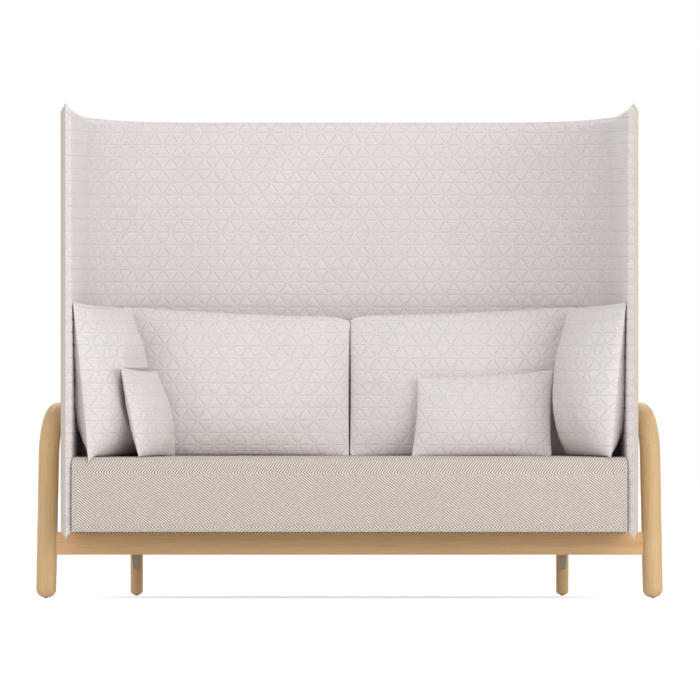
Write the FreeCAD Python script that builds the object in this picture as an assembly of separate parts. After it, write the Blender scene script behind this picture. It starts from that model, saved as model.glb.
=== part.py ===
import FreeCAD, Part
import math
import os
from FreeCAD import Vector

os.makedirs("parts", exist_ok=True)

# High back settee. X runs to the right, Y to the back, Z up, all in millimetres.
# The origin is on the floor, at the middle of the footprint.

# Driving sizes of the shell
SHELL_FRONT_WIDTH = 1610.0
SHELL_DEPTH = 653.0
SHELL_THICKNESS = 30.0
SHELL_CORNER_RADIUS = 289.0
WING_SPLAY = 5.7
SHELL_TOP = 1371.0
EDGE_RAKE = 3.6
EDGE_BEVEL = 14.4
CORE_THICKNESS = 12.0
CORE_SETBACK = 24.0

# Driving sizes of the bent wood hoops
FRONT_FOOT_STAND_OUT = 41.5
FRONT_LEG_SETBACK = 180.0
FRONT_LEG_DIAMETER = 57.0
FRONT_LEG_LEAN = 1.15
WING_BAR_DIAMETER = 51.0
BACK_LEG_DIAMETER = 36.0
BACK_LEG_SET_IN = 206.0
HOOP_HEIGHT = 545.0
FRONT_BEND_RADIUS = 120.0
BACK_BEND_RADIUS = 90.0
FRONT_FOOT_ROUNDING = 23.0
BACK_FOOT_ROUNDING = 12.0
GLIDE_HEIGHT = 2.0
GLIDE_DIAMETER = 11.0
HUG_STATIONS = 7

# Driving sizes of the under frame
RAIL_TOP = 184.5
RAIL_HEIGHT = 64.0
RAIL_THICKNESS = 30.0
RAIL_ROUNDING = 3.0
SIDE_RAIL_SET_IN = 54.0
BACK_RAIL_END = 34.0
BLOCK_LEG = 45.0
BLOCK_HEIGHT = 44.0
BRACKET_THICKNESS = 5.0
BRACKET_TOP_WIDTH = 44.0
BRACKET_NECK_WIDTH = 25.0
BRACKET_TIP_WIDTH = 18.0
BRACKET_DROP = 44.0
LEG_FLAT_DEPTH = 3.0

# Driving sizes of the seat
SEAT_TOP = 394.0
SEAT_FRONT_SETBACK = 2.0
SEAT_EDGE_RADIUS = 26.0
SEAT_CROWN = 1.5
SEAT_FRONT_BULGE = 5.0
SEAT_FRONT_LEAN = 3.0
SEAT_FRAME_HEIGHT = 54.0
SEAT_FRAME_BOARD = 36.0
SEAT_COVER_THICKNESS = 2.5
WEBBING_WIDTH = 50.0
WEBBING_THICKNESS = 2.0
WEBBING_PITCH = 110.0
BELT_SETBACK = 6.0
DUST_COVER_THICKNESS = 1.0

# Driving sizes of the pillows
BACK_PILLOW_SET_IN = 165.0
BACK_PILLOW_HEIGHT = 415.0
BACK_PILLOW_FRONT_SWELL = 75.0
BACK_PILLOW_BACK_SWELL = 62.0
BACK_PILLOW_LEAN = 14.0
BACK_PILLOW_TOP_SLOPE = 2.6
BACK_PILLOW_GAP = 6.0
BACK_PILLOW_FROM_BACK = 333.0
SIDE_PILLOW_WIDTH = 450.0
SIDE_PILLOW_HEIGHT = 430.0
SIDE_PILLOW_FRONT_SWELL = 66.0
SIDE_PILLOW_BACK_SWELL = 62.0
SIDE_PILLOW_LEAN = 6.9
SIDE_PILLOW_TURN = 68.6
SIDE_PILLOW_SET_IN = 175.0
SIDE_PILLOW_DEPTH = 211.0
SMALL_PILLOW_WIDTH = 380.0
SMALL_PILLOW_HEIGHT = 248.0
SMALL_PILLOW_FRONT_SWELL = 47.0
SMALL_PILLOW_BACK_SWELL = 25.0
SMALL_PILLOW_SIDE_LEAN = 11.5
SMALL_PILLOW_TURN = 75.3
SMALL_PILLOW_SIDE_SET_IN = 305.0
SMALL_PILLOW_DEPTH = 208.0
SMALL_PILLOW_BACK_LEAN = 24.0
SMALL_PILLOW_BACK_SET_IN = 443.0
SMALL_PILLOW_FROM_BACK = 353.0
SMALL_PILLOW_TOP_SLOPE = -3.0
PILLOW_EDGE = 2.5
PILLOW_DRAWN_IN = 8.0
PILLOW_FULL_SIDES = 0.52
PILLOW_PLACES = (-1.0, -0.82, -0.55, 0.0, 0.55, 0.82, 1.0)
PILLOW_LEVELS = (-1.0, -0.93, -0.7, -0.35, 0.0, 0.35, 0.7, 0.93, 1.0)
SETTLE_STEPS = 12

# Driving sizes of the fasteners
STUD_DIAMETER = 8.0
DOWEL_NUT_DIAMETER = 12.0
DOWEL_NUT_LENGTH = 22.0
STUD_SPACING = 32.0
STUD_IN_LEG = 30.0
STUD_IN_RAIL = 55.0
SCREW_DIAMETER = 5.0
SCREW_HEAD_DIAMETER = 10.0
SCREW_HEAD_HEIGHT = 3.5
SPACER_DIAMETER = 24.0
TEE_NUT_FLANGE = 22.0
TEE_NUT_BARREL = 11.0
TEE_NUT_FLANGE_THICKNESS = 1.5

# Named reaches and shares of the fixings
HOOP_FIXING_SHARES = (0.12, 0.62)
HOOP_STUD_REACH = 0.4
SPACER_FLAT_MARGIN = 1.0
SPACER_ROOM = 0.5
TEE_NUT_SHORT = 1.0
BOLT_DIAMETER = 6.0
BOLT_HEAD_DIAMETER = 12.0
BRACKET_SCREW_INSET = 7.0
SCREW_TIP_COVER = 2.0
COUNTERBORE_DEPTH = 25.6
SCREW_IN_FRAME = 32.4
SHELL_SCREW_DEPTH_SHARES = (0.3, 0.9)
SHELL_SCREW_WIDTH_SHARES = (0.35, 0.9)

# Named clearances and tolerances
OVERCUT = 1.0
PLACE_TOLERANCE = 0.05
LARGE_FACE_AREA = 10000.0
SEAT_CLEARANCE = 0.3
BORE_CLEARANCE = 0.15
HOOP_CLEARANCE = 1.5
PAD_GAP = 0.6

nodes = {}


# Plan of the shell. Depth is counted from the front edge of the shell towards the back.
splay = math.radians(WING_SPLAY)
outer_radius = SHELL_CORNER_RADIUS + SHELL_THICKNESS
arc_depth = SHELL_DEPTH - outer_radius
wing_run = (arc_depth + outer_radius * math.sin(splay)) * math.tan(splay)
arc_offset = SHELL_FRONT_WIDTH / 2.0 - outer_radius * math.cos(splay) - wing_run

# Plan of the hoops, which pass round the outside of the shell's corners
half_width = SHELL_FRONT_WIDTH / 2.0
front_foot_x = half_width + FRONT_FOOT_STAND_OUT
back_leg_x = half_width - BACK_LEG_SET_IN
side_rail_x = back_leg_x - SIDE_RAIL_SET_IN
bar_height = HOOP_HEIGHT - FRONT_LEG_DIAMETER / 2.0
hug_radius = outer_radius + HOOP_CLEARANCE + WING_BAR_DIAMETER / 2.0
lean = math.radians(FRONT_LEG_LEAN)


def leg_at(z):
    """The offset of the front leg's centre at a height."""
    return front_foot_x - z * math.tan(lean)


from_arc_x = leg_at(bar_height) - arc_offset
from_arc_y = arc_depth - FRONT_LEG_SETBACK
bar_reach = math.hypot(from_arc_x, from_arc_y)
toe_in = math.atan2(from_arc_x, from_arc_y) - math.asin(hug_radius / bar_reach)
hug_start = math.pi / 2.0 - toe_in
hug_swing = math.hypot(hug_radius, BACK_BEND_RADIUS)
hug_end = math.asin((back_leg_x - arc_offset) / hug_swing) + math.atan2(BACK_BEND_RADIUS, hug_radius)
back_leg_depth = arc_depth + hug_radius * math.cos(hug_end) + BACK_BEND_RADIUS * math.sin(hug_end)
footprint_depth = back_leg_depth + BACK_LEG_DIAMETER / 2.0


def at(x, depth, z):
    """A point of the row's frame from its offset, its depth behind the front edge and its height."""
    return Vector(x, depth - footprint_depth / 2.0, z)


def disc(centre, axis, radius):
    edge = Part.Edge(Part.Circle(centre, axis, radius))
    return Part.Face(Part.Wire([edge]))


def rod(start, axis, radius, length):
    return Part.makeCylinder(radius, length, start, axis)


def mirrored(shape):
    return shape.mirror(Vector(0, 0, 0), Vector(1, 0, 0))


def cut_all(shape, tools):
    for tool in tools:
        shape = shape.cut(tool)
    return shape


# Shell

def plan_path(inset, z):
    """Edges of the shell's plan from the left front end to the right one, inset from the outer face."""
    radius = outer_radius - inset
    tangent_x = arc_offset + radius * math.cos(splay)
    tangent_y = arc_depth + radius * math.sin(splay)
    end_x = tangent_x + tangent_y * math.tan(splay)
    half_turn = (math.pi / 2.0 - splay) / 2.0
    middle_x = arc_offset + radius * math.sin(half_turn)
    middle_y = arc_depth + radius * math.cos(half_turn)
    back = arc_depth + radius
    left_arc = Part.Arc(at(-tangent_x, tangent_y, z), at(-middle_x, middle_y, z), at(-arc_offset, back, z))
    right_arc = Part.Arc(at(arc_offset, back, z), at(middle_x, middle_y, z), at(tangent_x, tangent_y, z))
    curves = [
        Part.LineSegment(at(-end_x, 0, z), at(-tangent_x, tangent_y, z)),
        left_arc,
        Part.LineSegment(at(-arc_offset, back, z), at(arc_offset, back, z)),
        right_arc,
        Part.LineSegment(at(tangent_x, tangent_y, z), at(end_x, 0, z)),
    ]
    return [curve.toShape() for curve in curves]


def band(outer_inset, inner_inset, low, high):
    """An upright band of the shell's plan between two insets from the outer face."""
    outer = plan_path(outer_inset, low)
    inner = plan_path(inner_inset, low)
    ends = [
        Part.LineSegment(outer[0].Vertexes[0].Point, inner[0].Vertexes[0].Point).toShape(),
        Part.LineSegment(outer[-1].Vertexes[-1].Point, inner[-1].Vertexes[-1].Point).toShape(),
    ]
    wire = Part.Wire(Part.__sortEdges__(outer + inner + ends))
    return Part.Face(wire).extrude(Vector(0, 0, high - low))


def inside_block(gap, low, high):
    """The whole space inside the shell's inner face, less a gap, from the front edge to the back."""
    path = plan_path(SHELL_THICKNESS + gap, low)
    closing = Part.LineSegment(path[-1].Vertexes[-1].Point, path[0].Vertexes[0].Point).toShape()
    wire = Part.Wire(Part.__sortEdges__(path + [closing]))
    return Part.Face(wire).extrude(Vector(0, 0, high - low))


rake = math.tan(math.radians(EDGE_RAKE))
rail_front = FRONT_LEG_SETBACK - RAIL_THICKNESS / 2.0
shell_bottom = RAIL_TOP + SEAT_CLEARANCE - rail_front * rake


def side_prism(inset):
    """Side view of the shell, taller at the front than at the back, as a prism along X."""
    rise = inset / math.cos(math.atan(rake))
    far = SHELL_DEPTH + SHELL_THICKNESS
    half = SHELL_FRONT_WIDTH
    corners = [
        at(-half, inset, shell_bottom + inset * rake + rise),
        at(-half, inset, SHELL_TOP - inset * rake - rise),
        at(-half, far, SHELL_TOP - far * rake - rise),
        at(-half, far, shell_bottom + far * rake + rise),
    ]
    face = Part.Face(Part.makePolygon(corners + [corners[0]]))
    return face.extrude(Vector(2.0 * half, 0, 0))


def plan_inset(point):
    """How far a point lies inside the shell's outer face, seen in plan."""
    x = abs(point.x)
    depth = point.y + footprint_depth / 2.0
    if x <= arc_offset:
        return SHELL_DEPTH - depth
    angle = math.atan2(x - arc_offset, depth - arc_depth)
    if angle <= math.pi / 2.0 - splay:
        return outer_radius - math.hypot(x - arc_offset, depth - arc_depth)
    along_normal = (x - arc_offset) * math.cos(splay) + (depth - arc_depth) * math.sin(splay)
    return outer_radius - along_normal


def rim_edges(solid, inset):
    """The edges of a band's face at this inset that lie on its top, bottom and front rims."""
    found = []
    for edge in solid.Edges:
        middle = edge.valueAt((edge.FirstParameter + edge.LastParameter) / 2.0)
        if abs(plan_inset(middle) - inset) > PLACE_TOLERANCE:
            continue
        depth = middle.y + footprint_depth / 2.0
        on_top = abs(middle.z - (SHELL_TOP - depth * rake)) < PLACE_TOLERANCE
        on_bottom = abs(middle.z - (shell_bottom + depth * rake)) < PLACE_TOLERANCE
        on_front = abs(depth) < PLACE_TOLERANCE
        if on_top or on_bottom or on_front:
            found.append(edge)
    return found


half_shell = SHELL_THICKNESS / 2.0
low_cut = shell_bottom - OVERCUT
outline = side_prism(0.0)

core = band(half_shell - CORE_THICKNESS / 2.0, half_shell + CORE_THICKNESS / 2.0, low_cut, SHELL_TOP)
core = core.common(side_prism(CORE_SETBACK))
inner_half = band(half_shell, SHELL_THICKNESS, low_cut, SHELL_TOP).common(outline)
inner_half = inner_half.makeChamfer(EDGE_BEVEL, rim_edges(inner_half, SHELL_THICKNESS))
outer_half = band(0.0, half_shell, low_cut, SHELL_TOP).common(outline)
outer_half = outer_half.makeChamfer(EDGE_BEVEL, rim_edges(outer_half, 0.0))
inner_pad = inner_half.cut(core)
outer_cover = outer_half.cut(core)


# Hoops

def ring_at(point, heading, radius):
    """A circle across a level path that runs along the heading, with its seam always on top."""
    circle = Part.Edge(Part.Circle(Vector(0, 0, 0), Vector(0, 1, 0), radius))
    circle.rotate(Vector(0, 0, 0), Vector(0, 0, 1), math.degrees(heading))
    circle.translate(point)
    return Part.Wire([circle])


def hug_point(angle):
    """The bar's centre at an angle round the right corner, counted from straight back."""
    return at(arc_offset + hug_radius * math.sin(angle), arc_depth + hug_radius * math.cos(angle), bar_height)


def hug_bar_radius(angle):
    share = (hug_start - angle) / (hug_start - hug_end)
    return (WING_BAR_DIAMETER * (1.0 - share) + BACK_LEG_DIAMETER * share) / 2.0


def rounded_leg(radius, rounding, length):
    """A round leg with a rounded foot, standing on the origin along Z."""
    flat = radius - rounding
    turn = rounding * math.sqrt(0.5)
    corner = Vector(flat, 0, 0)
    outline_edges = [
        Part.LineSegment(Vector(0, 0, 0), corner).toShape(),
        Part.Arc(corner, Vector(flat + turn, 0, rounding - turn), Vector(radius, 0, rounding)).toShape(),
        Part.LineSegment(Vector(radius, 0, rounding), Vector(radius, 0, length)).toShape(),
        Part.LineSegment(Vector(radius, 0, length), Vector(0, 0, length)).toShape(),
        Part.LineSegment(Vector(0, 0, length), Vector(0, 0, 0)).toShape(),
    ]
    return Part.Face(Part.Wire(outline_edges)).revolve(Vector(0, 0, 0), Vector(0, 0, 1), 360)


def right_hoop():
    leg_radius = FRONT_LEG_DIAMETER / 2.0
    up = Vector(-math.sin(lean), 0, math.cos(lean))
    along = Vector(-math.sin(toe_in), math.cos(toe_in), 0)
    corner = at(leg_at(bar_height), FRONT_LEG_SETBACK, bar_height)
    turn = math.acos(up.dot(along))
    setback = FRONT_BEND_RADIUS * math.tan(turn / 2.0)
    bend_start = corner - up * setback
    bend_end = corner + along * setback
    bend_axis = up.cross(along).normalize()
    bend_centre = bend_start + bend_axis.cross(up) * FRONT_BEND_RADIUS
    foot = at(leg_at(GLIDE_HEIGHT), FRONT_LEG_SETBACK, GLIDE_HEIGHT)
    leg = rounded_leg(leg_radius, FRONT_FOOT_ROUNDING, (bend_start - foot).Length)
    leg.rotate(Vector(0, 0, 0), Vector(0, 1, 0), -FRONT_LEG_LEAN)
    leg.translate(foot)
    front_bend = disc(bend_start, up, leg_radius).revolve(bend_centre, bend_axis, math.degrees(turn))
    hug_first = hug_point(hug_start)
    straight_ends = [
        ring_at(bend_end, toe_in, leg_radius), ring_at(hug_first, toe_in, WING_BAR_DIAMETER / 2.0)
    ]
    straight = Part.makeLoft(straight_ends, True, True)
    rings = []
    for index in range(HUG_STATIONS):
        angle = hug_start + (hug_end - hug_start) * index / (HUG_STATIONS - 1)
        rings.append(ring_at(hug_point(angle), math.pi / 2.0 - angle, hug_bar_radius(angle)))
    hug = Part.makeLoft(rings, True, False)
    back_radius = BACK_LEG_DIAMETER / 2.0
    back_heading = Vector(-math.cos(hug_end), math.sin(hug_end), 0)
    back_start = hug_point(hug_end)
    back_axis = back_heading.cross(Vector(0, 0, -1)).normalize()
    back_centre = back_start - Vector(0, 0, BACK_BEND_RADIUS)
    back_bend = disc(back_start, back_heading, back_radius).revolve(back_centre, back_axis, 90)
    back_leg = rounded_leg(back_radius, BACK_FOOT_ROUNDING, bar_height - BACK_BEND_RADIUS - GLIDE_HEIGHT)
    back_leg.translate(at(back_leg_x, back_leg_depth, GLIDE_HEIGHT))
    return leg.multiFuse([front_bend, straight, hug, back_bend, back_leg])


hoop = right_hoop()


# Under frame

leg_flat = back_leg_depth - BACK_LEG_DIAMETER / 2.0 + LEG_FLAT_DEPTH
back_rail_back = leg_flat - BRACKET_THICKNESS
back_rail_front = back_rail_back - RAIL_THICKNESS
rail_bottom = RAIL_TOP - RAIL_HEIGHT
rail_middle = RAIL_TOP - RAIL_HEIGHT / 2.0
rail_back = FRONT_LEG_SETBACK + RAIL_THICKNESS / 2.0


def box(x0, x1, d0, d1, z0, z1):
    return Part.makeBox(x1 - x0, d1 - d0, z1 - z0, at(x0, d0, z0))


def rounded_rail(x0, x1, d0, d1):
    """A rail along X with its four long edges eased."""
    rail = box(x0, x1, d0, d1, rail_bottom, RAIL_TOP)
    long_edges = [edge for edge in rail.Edges if abs(edge.tangentAt(edge.FirstParameter).x) > 0.99]
    return rail.makeFillet(RAIL_ROUNDING, long_edges)


leg_up = Vector(-math.sin(lean), 0, math.cos(lean))
front_rail = rounded_rail(-leg_at(rail_bottom), leg_at(rail_bottom), rail_front, rail_back)
cope_radius = FRONT_LEG_DIAMETER / 2.0 + SEAT_CLEARANCE
cope = rod(at(leg_at(0.0), FRONT_LEG_SETBACK, 0.0), leg_up, cope_radius, HOOP_HEIGHT)
inner_side = box(-leg_at(rail_middle), leg_at(rail_middle), rail_front, rail_back, rail_bottom, RAIL_TOP)
front_rail = front_rail.common(inner_side).cut(cope).cut(mirrored(cope))
back_rail_x = back_leg_x + BACK_RAIL_END
back_rail = rounded_rail(-back_rail_x, back_rail_x, back_rail_front, back_rail_back)
side_rail = box(
    side_rail_x - RAIL_THICKNESS / 2.0, side_rail_x + RAIL_THICKNESS / 2.0,
    rail_back, back_rail_front, rail_bottom + RAIL_ROUNDING, RAIL_TOP
)
centre_bearer = box(
    -RAIL_THICKNESS / 2.0, RAIL_THICKNESS / 2.0,
    rail_back, back_rail_front, rail_bottom + RAIL_ROUNDING, RAIL_TOP
)


def corner_block(d0, direction):
    """A three sided glue block inside the corner of a side rail and a cross rail."""
    x0 = side_rail_x - RAIL_THICKNESS / 2.0
    z0 = rail_middle - BLOCK_HEIGHT / 2.0
    corners = [at(x0, d0, z0), at(x0 - BLOCK_LEG, d0, z0), at(x0, d0 + direction * BLOCK_LEG, z0)]
    face = Part.Face(Part.makePolygon(corners + [corners[0]]))
    return face.extrude(Vector(0, 0, BLOCK_HEIGHT))


blocks = [corner_block(rail_back, 1.0), corner_block(back_rail_front, -1.0)]
blocks = blocks + [mirrored(block) for block in blocks]


# Steel brackets between the back rail and the back legs

def bracket_outline():
    half_top = BRACKET_TOP_WIDTH / 2.0
    half_neck = BRACKET_NECK_WIDTH / 2.0
    half_tip = BRACKET_TIP_WIDTH / 2.0
    shoulder = rail_bottom + RAIL_ROUNDING
    tip = rail_bottom - BRACKET_DROP
    top = RAIL_TOP - RAIL_ROUNDING
    points = [
        (-half_top, top), (half_top, top), (half_top, shoulder), (half_neck, shoulder - half_neck),
        (half_tip, tip), (-half_tip, tip), (-half_neck, shoulder - half_neck), (-half_top, shoulder),
    ]
    corners = [at(back_leg_x + x, back_rail_back, z) for x, z in points]
    return Part.Face(Part.makePolygon(corners + [corners[0]]))


bracket = bracket_outline().extrude(Vector(0, BRACKET_THICKNESS, 0))
flat_cut = box(
    back_leg_x - BRACKET_TOP_WIDTH, back_leg_x + BRACKET_TOP_WIDTH,
    leg_flat - BACK_LEG_DIAMETER, leg_flat, rail_bottom - BRACKET_DROP - LEG_FLAT_DEPTH, RAIL_TOP
)
glide_room = box(0.0, 2.0 * front_foot_x, 0.0, footprint_depth, 0.0, GLIDE_HEIGHT)
hoop = hoop.cut(flat_cut).cut(glide_room)


# Bolts and screws

def countersunk(start, axis, radius, length, head_radius, head_height):
    """A screw whose flat head starts at the given point and whose shank runs along the axis."""
    head = Part.makeCone(head_radius, radius, head_height, start, axis)
    shank = rod(start, axis, radius, length)
    return head.fuse(shank)


def bore_for(start, axis, radius, length, head_radius, head_height):
    """The hole of a countersunk screw, a little larger all round than the screw."""
    head = Part.makeCone(head_radius + BORE_CLEARANCE, radius + BORE_CLEARANCE, head_height, start, axis)
    shank = rod(start, axis, radius + BORE_CLEARANCE, length + BORE_CLEARANCE)
    return head.fuse(shank)


stud_radius = STUD_DIAMETER / 2.0
right = Vector(1, 0, 0)
backward = Vector(0, 1, 0)
upward = Vector(0, 0, 1)

front_studs = []
front_stud_bores = []
dowel_nuts = []
dowel_nut_bores = []
for sign in (-1.0, 1.0):
    z = rail_middle + sign * STUD_SPACING / 2.0
    rail_end = leg_at(z) - FRONT_LEG_DIAMETER / 2.0
    start = at(rail_end - STUD_IN_RAIL, FRONT_LEG_SETBACK, z)
    length = STUD_IN_RAIL + STUD_IN_LEG
    front_studs.append(rod(start, right, stud_radius, length))
    bore_start = start - right * BORE_CLEARANCE
    bore_length = length + 2.0 * BORE_CLEARANCE
    front_stud_bores.append(rod(bore_start, right, stud_radius + BORE_CLEARANCE, bore_length))
    nut_x = rail_end - STUD_IN_RAIL + DOWEL_NUT_DIAMETER
    nut_radius = DOWEL_NUT_DIAMETER / 2.0
    nut_start = at(nut_x, rail_back - RAIL_ROUNDING - DOWEL_NUT_LENGTH, z)
    dowel_nuts.append(rod(nut_start, backward, nut_radius, DOWEL_NUT_LENGTH))
    nut_bore_length = DOWEL_NUT_LENGTH + RAIL_ROUNDING + BORE_CLEARANCE + OVERCUT
    nut_bore_start = nut_start - backward * BORE_CLEARANCE
    dowel_nut_bores.append(rod(nut_bore_start, backward, nut_radius + BORE_CLEARANCE, nut_bore_length))
dowel_nuts = [cut_all(nut, front_stud_bores) for nut in dowel_nuts]
hoop = cut_all(hoop, front_stud_bores)
rail_bores = front_stud_bores + dowel_nut_bores
front_rail = cut_all(front_rail, rail_bores + [mirrored(bore) for bore in rail_bores])

# Back leg bolts: the upper one runs through the rail, the lower one through the bracket's tongue
back_bolts = []
back_bolt_bores = []
bolt_in_leg = BACK_LEG_DIAMETER / 2.0
upper_length = RAIL_THICKNESS + BRACKET_THICKNESS + bolt_in_leg
lower_height = rail_bottom - BRACKET_DROP / 2.0
bolt_places = [
    (at(back_leg_x, back_rail_front, rail_middle), upper_length),
    (at(back_leg_x, back_rail_back, lower_height), BRACKET_THICKNESS + bolt_in_leg),
]
for start, length in bolt_places:
    sizes = (backward, BOLT_DIAMETER / 2.0, length, BOLT_HEAD_DIAMETER / 2.0, SCREW_HEAD_HEIGHT)
    back_bolts.append(countersunk(start, *sizes))
    back_bolt_bores.append(bore_for(start, *sizes))
bracket_screws = []
bracket_screw_bores = []
for sign in (-1.0, 1.0):
    for level in (-1.0, 1.0):
        x = back_leg_x + sign * (BRACKET_TOP_WIDTH / 2.0 - BRACKET_SCREW_INSET)
        z = rail_middle + level * RAIL_HEIGHT / 4.0
        start = at(x, back_rail_back + BRACKET_THICKNESS, z)
        length = RAIL_THICKNESS - SCREW_TIP_COVER
        sizes = (backward * -1.0, SCREW_DIAMETER / 2.0, length, SCREW_HEAD_DIAMETER / 2.0, SCREW_HEAD_HEIGHT)
        bracket_screws.append(countersunk(start, *sizes))
        bracket_screw_bores.append(bore_for(start, *sizes))
hoop = cut_all(hoop, back_bolt_bores)
bracket = cut_all(bracket, back_bolt_bores + bracket_screw_bores)
back_rail_bores = back_bolt_bores + bracket_screw_bores
back_rail = cut_all(back_rail, back_rail_bores + [mirrored(bore) for bore in back_rail_bores])


# Fixings between each hoop and the shell, set square to the shell's corner

spacers = []
shell_studs = []
tee_nuts = []
core_face = outer_radius - half_shell - CORE_THICKNESS / 2.0
for share in HOOP_FIXING_SHARES:
    angle = hug_start + (hug_end - hug_start) * share
    outward = Vector(math.sin(angle), math.cos(angle), 0)
    arc_centre = at(arc_offset, arc_depth, bar_height)
    local_radius = hug_bar_radius(angle)
    seat_depth = math.sqrt(local_radius ** 2 - (SPACER_DIAMETER / 2.0 + SPACER_FLAT_MARGIN) ** 2)
    spacer_outer = hug_radius - seat_depth
    spacer_inner = outer_radius + SEAT_CLEARANCE
    spacer_start = arc_centre + outward * spacer_inner
    spacer_length = spacer_outer - spacer_inner
    recess = rod(spacer_start, outward, SPACER_DIAMETER / 2.0 + SPACER_ROOM, spacer_length)
    spacer = rod(spacer_start, outward, SPACER_DIAMETER / 2.0, spacer_length)
    stud_start = core_face - TEE_NUT_FLANGE_THICKNESS
    stud_end = hug_radius + local_radius * HOOP_STUD_REACH
    stud = rod(arc_centre + outward * stud_start, outward, stud_radius, stud_end - stud_start)
    stud_bore = rod(arc_centre + outward * stud_start, outward, stud_radius + BORE_CLEARANCE,
                    stud_end - stud_start + BORE_CLEARANCE)
    flange = rod(arc_centre + outward * stud_start, outward, TEE_NUT_FLANGE / 2.0, TEE_NUT_FLANGE_THICKNESS)
    barrel = rod(arc_centre + outward * stud_start, outward, TEE_NUT_BARREL / 2.0,
                 TEE_NUT_FLANGE_THICKNESS + CORE_THICKNESS - TEE_NUT_SHORT)
    tee_nut = flange.fuse(barrel).cut(stud_bore)
    room_start = arc_centre + outward * (stud_start - OVERCUT)
    flange_depth = TEE_NUT_FLANGE_THICKNESS + OVERCUT
    barrel_depth = CORE_THICKNESS + TEE_NUT_FLANGE_THICKNESS + BORE_CLEARANCE
    flange_room = rod(room_start, outward, TEE_NUT_FLANGE / 2.0 + BORE_CLEARANCE, flange_depth)
    barrel_room = rod(room_start, outward, TEE_NUT_BARREL / 2.0 + BORE_CLEARANCE, barrel_depth)
    spacers.append(spacer.cut(stud_bore))
    shell_studs.append(stud)
    tee_nuts.append(tee_nut)
    hoop = hoop.cut(recess).cut(stud_bore)
    for side in (flange_room, mirrored(flange_room)):
        inner_pad = inner_pad.cut(side)
        core = core.cut(side)
    for side in (barrel_room, mirrored(barrel_room)):
        core = core.cut(side)
    for side in (stud_bore, mirrored(stud_bore)):
        outer_cover = outer_cover.cut(side)
        core = core.cut(side)


# Seat

seat_bottom = RAIL_TOP + DUST_COVER_THICKNESS
frame_top = seat_bottom + SEAT_FRAME_HEIGHT
seat_back = SHELL_DEPTH - SHELL_THICKNESS - PAD_GAP


def seat_profile(inset, bottom):
    """Side view of the seat, crowned on top and full at the front, as a prism along X."""
    front = SEAT_FRONT_SETBACK + inset
    back = SHELL_DEPTH
    top = SEAT_TOP - inset
    radius = SEAT_EDGE_RADIUS - inset
    turn = radius * (1.0 - math.sqrt(0.5))
    middle = (SEAT_TOP + seat_bottom) / 2.0
    half = SHELL_FRONT_WIDTH
    points = {
        "low": at(-half, front + SEAT_FRONT_BULGE, bottom),
        "bulge": at(-half, front, middle),
        "under": at(-half, front + SEAT_FRONT_LEAN, top - radius),
        "round": at(-half, front + SEAT_FRONT_LEAN + turn, top - turn),
        "edge": at(-half, front + SEAT_FRONT_LEAN + radius, top),
        "crown": at(-half, (front + back) / 2.0, top + SEAT_CROWN),
        "end": at(-half, back, top),
        "heel": at(-half, back, bottom),
    }
    edges = [
        Part.Arc(points["low"], points["bulge"], points["under"]).toShape(),
        Part.Arc(points["under"], points["round"], points["edge"]).toShape(),
        Part.Arc(points["edge"], points["crown"], points["end"]).toShape(),
        Part.LineSegment(points["end"], points["heel"]).toShape(),
        Part.LineSegment(points["heel"], points["low"]).toShape(),
    ]
    return Part.Face(Part.Wire(edges)).extrude(Vector(2.0 * half, 0, 0))


def seat_block(inset, bottom):
    ceiling = SEAT_TOP + 2.0 * SEAT_CROWN
    return inside_block(PAD_GAP + inset, bottom, ceiling).common(seat_profile(inset, bottom))


def across(d0, z0, z1):
    """A block over the whole width, from a depth to the back of the shell."""
    return box(-SHELL_FRONT_WIDTH, SHELL_FRONT_WIDTH, d0, SHELL_DEPTH, z0, z1)


seat_outer = seat_block(0.0, seat_bottom)
seat_hollow = seat_block(SEAT_COVER_THICKNESS, seat_bottom - OVERCUT)
seat_cover = seat_outer.cut(seat_hollow)
filling_inset = SEAT_COVER_THICKNESS + SEAT_CLEARANCE
foam_bottom = frame_top + WEBBING_THICKNESS
seat_filling = seat_block(filling_inset, seat_bottom)
foam_room = across(0.0, foam_bottom, SEAT_TOP + 2.0 * SEAT_CROWN)
seat_foam = seat_filling.common(foam_room)

ring_front = SEAT_FRONT_SETBACK + SEAT_FRONT_BULGE + filling_inset
ring_inside = ring_front + SEAT_FRAME_BOARD
ring_slab = inside_block(PAD_GAP + filling_inset, seat_bottom, frame_top)
ring_slab = ring_slab.common(across(ring_front, 0.0, frame_top))
ring_hole = inside_block(PAD_GAP + filling_inset + SEAT_FRAME_BOARD, seat_bottom, frame_top)
ring_hole = ring_hole.common(across(ring_inside, 0.0, frame_top))
seat_frame = ring_slab.cut(ring_hole)

cross_members = []
for x in (-side_rail_x, 0.0, side_rail_x):
    member = box(x - SEAT_FRAME_BOARD / 2.0, x + SEAT_FRAME_BOARD / 2.0, ring_inside, SHELL_DEPTH,
                 seat_bottom, frame_top)
    cross_members.append(member.common(ring_hole))

webbing = []
belt_count = int((2.0 * side_rail_x + WEBBING_PITCH) / WEBBING_PITCH)
for index in range(belt_count):
    x = (index - (belt_count - 1) / 2.0) * WEBBING_PITCH
    x0 = x - WEBBING_WIDTH / 2.0
    x1 = x + WEBBING_WIDTH / 2.0
    belt = box(x0, x1, ring_front + BELT_SETBACK, SHELL_DEPTH - SHELL_THICKNESS, frame_top, foam_bottom)
    webbing.append(belt.common(inside_block(PAD_GAP + filling_inset + BELT_SETBACK, 0.0, SEAT_TOP)))

dust_cover = inside_block(PAD_GAP + filling_inset + BELT_SETBACK, RAIL_TOP, seat_bottom)
dust_cover = dust_cover.common(across(ring_front + BELT_SETBACK, RAIL_TOP, seat_bottom))

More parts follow.
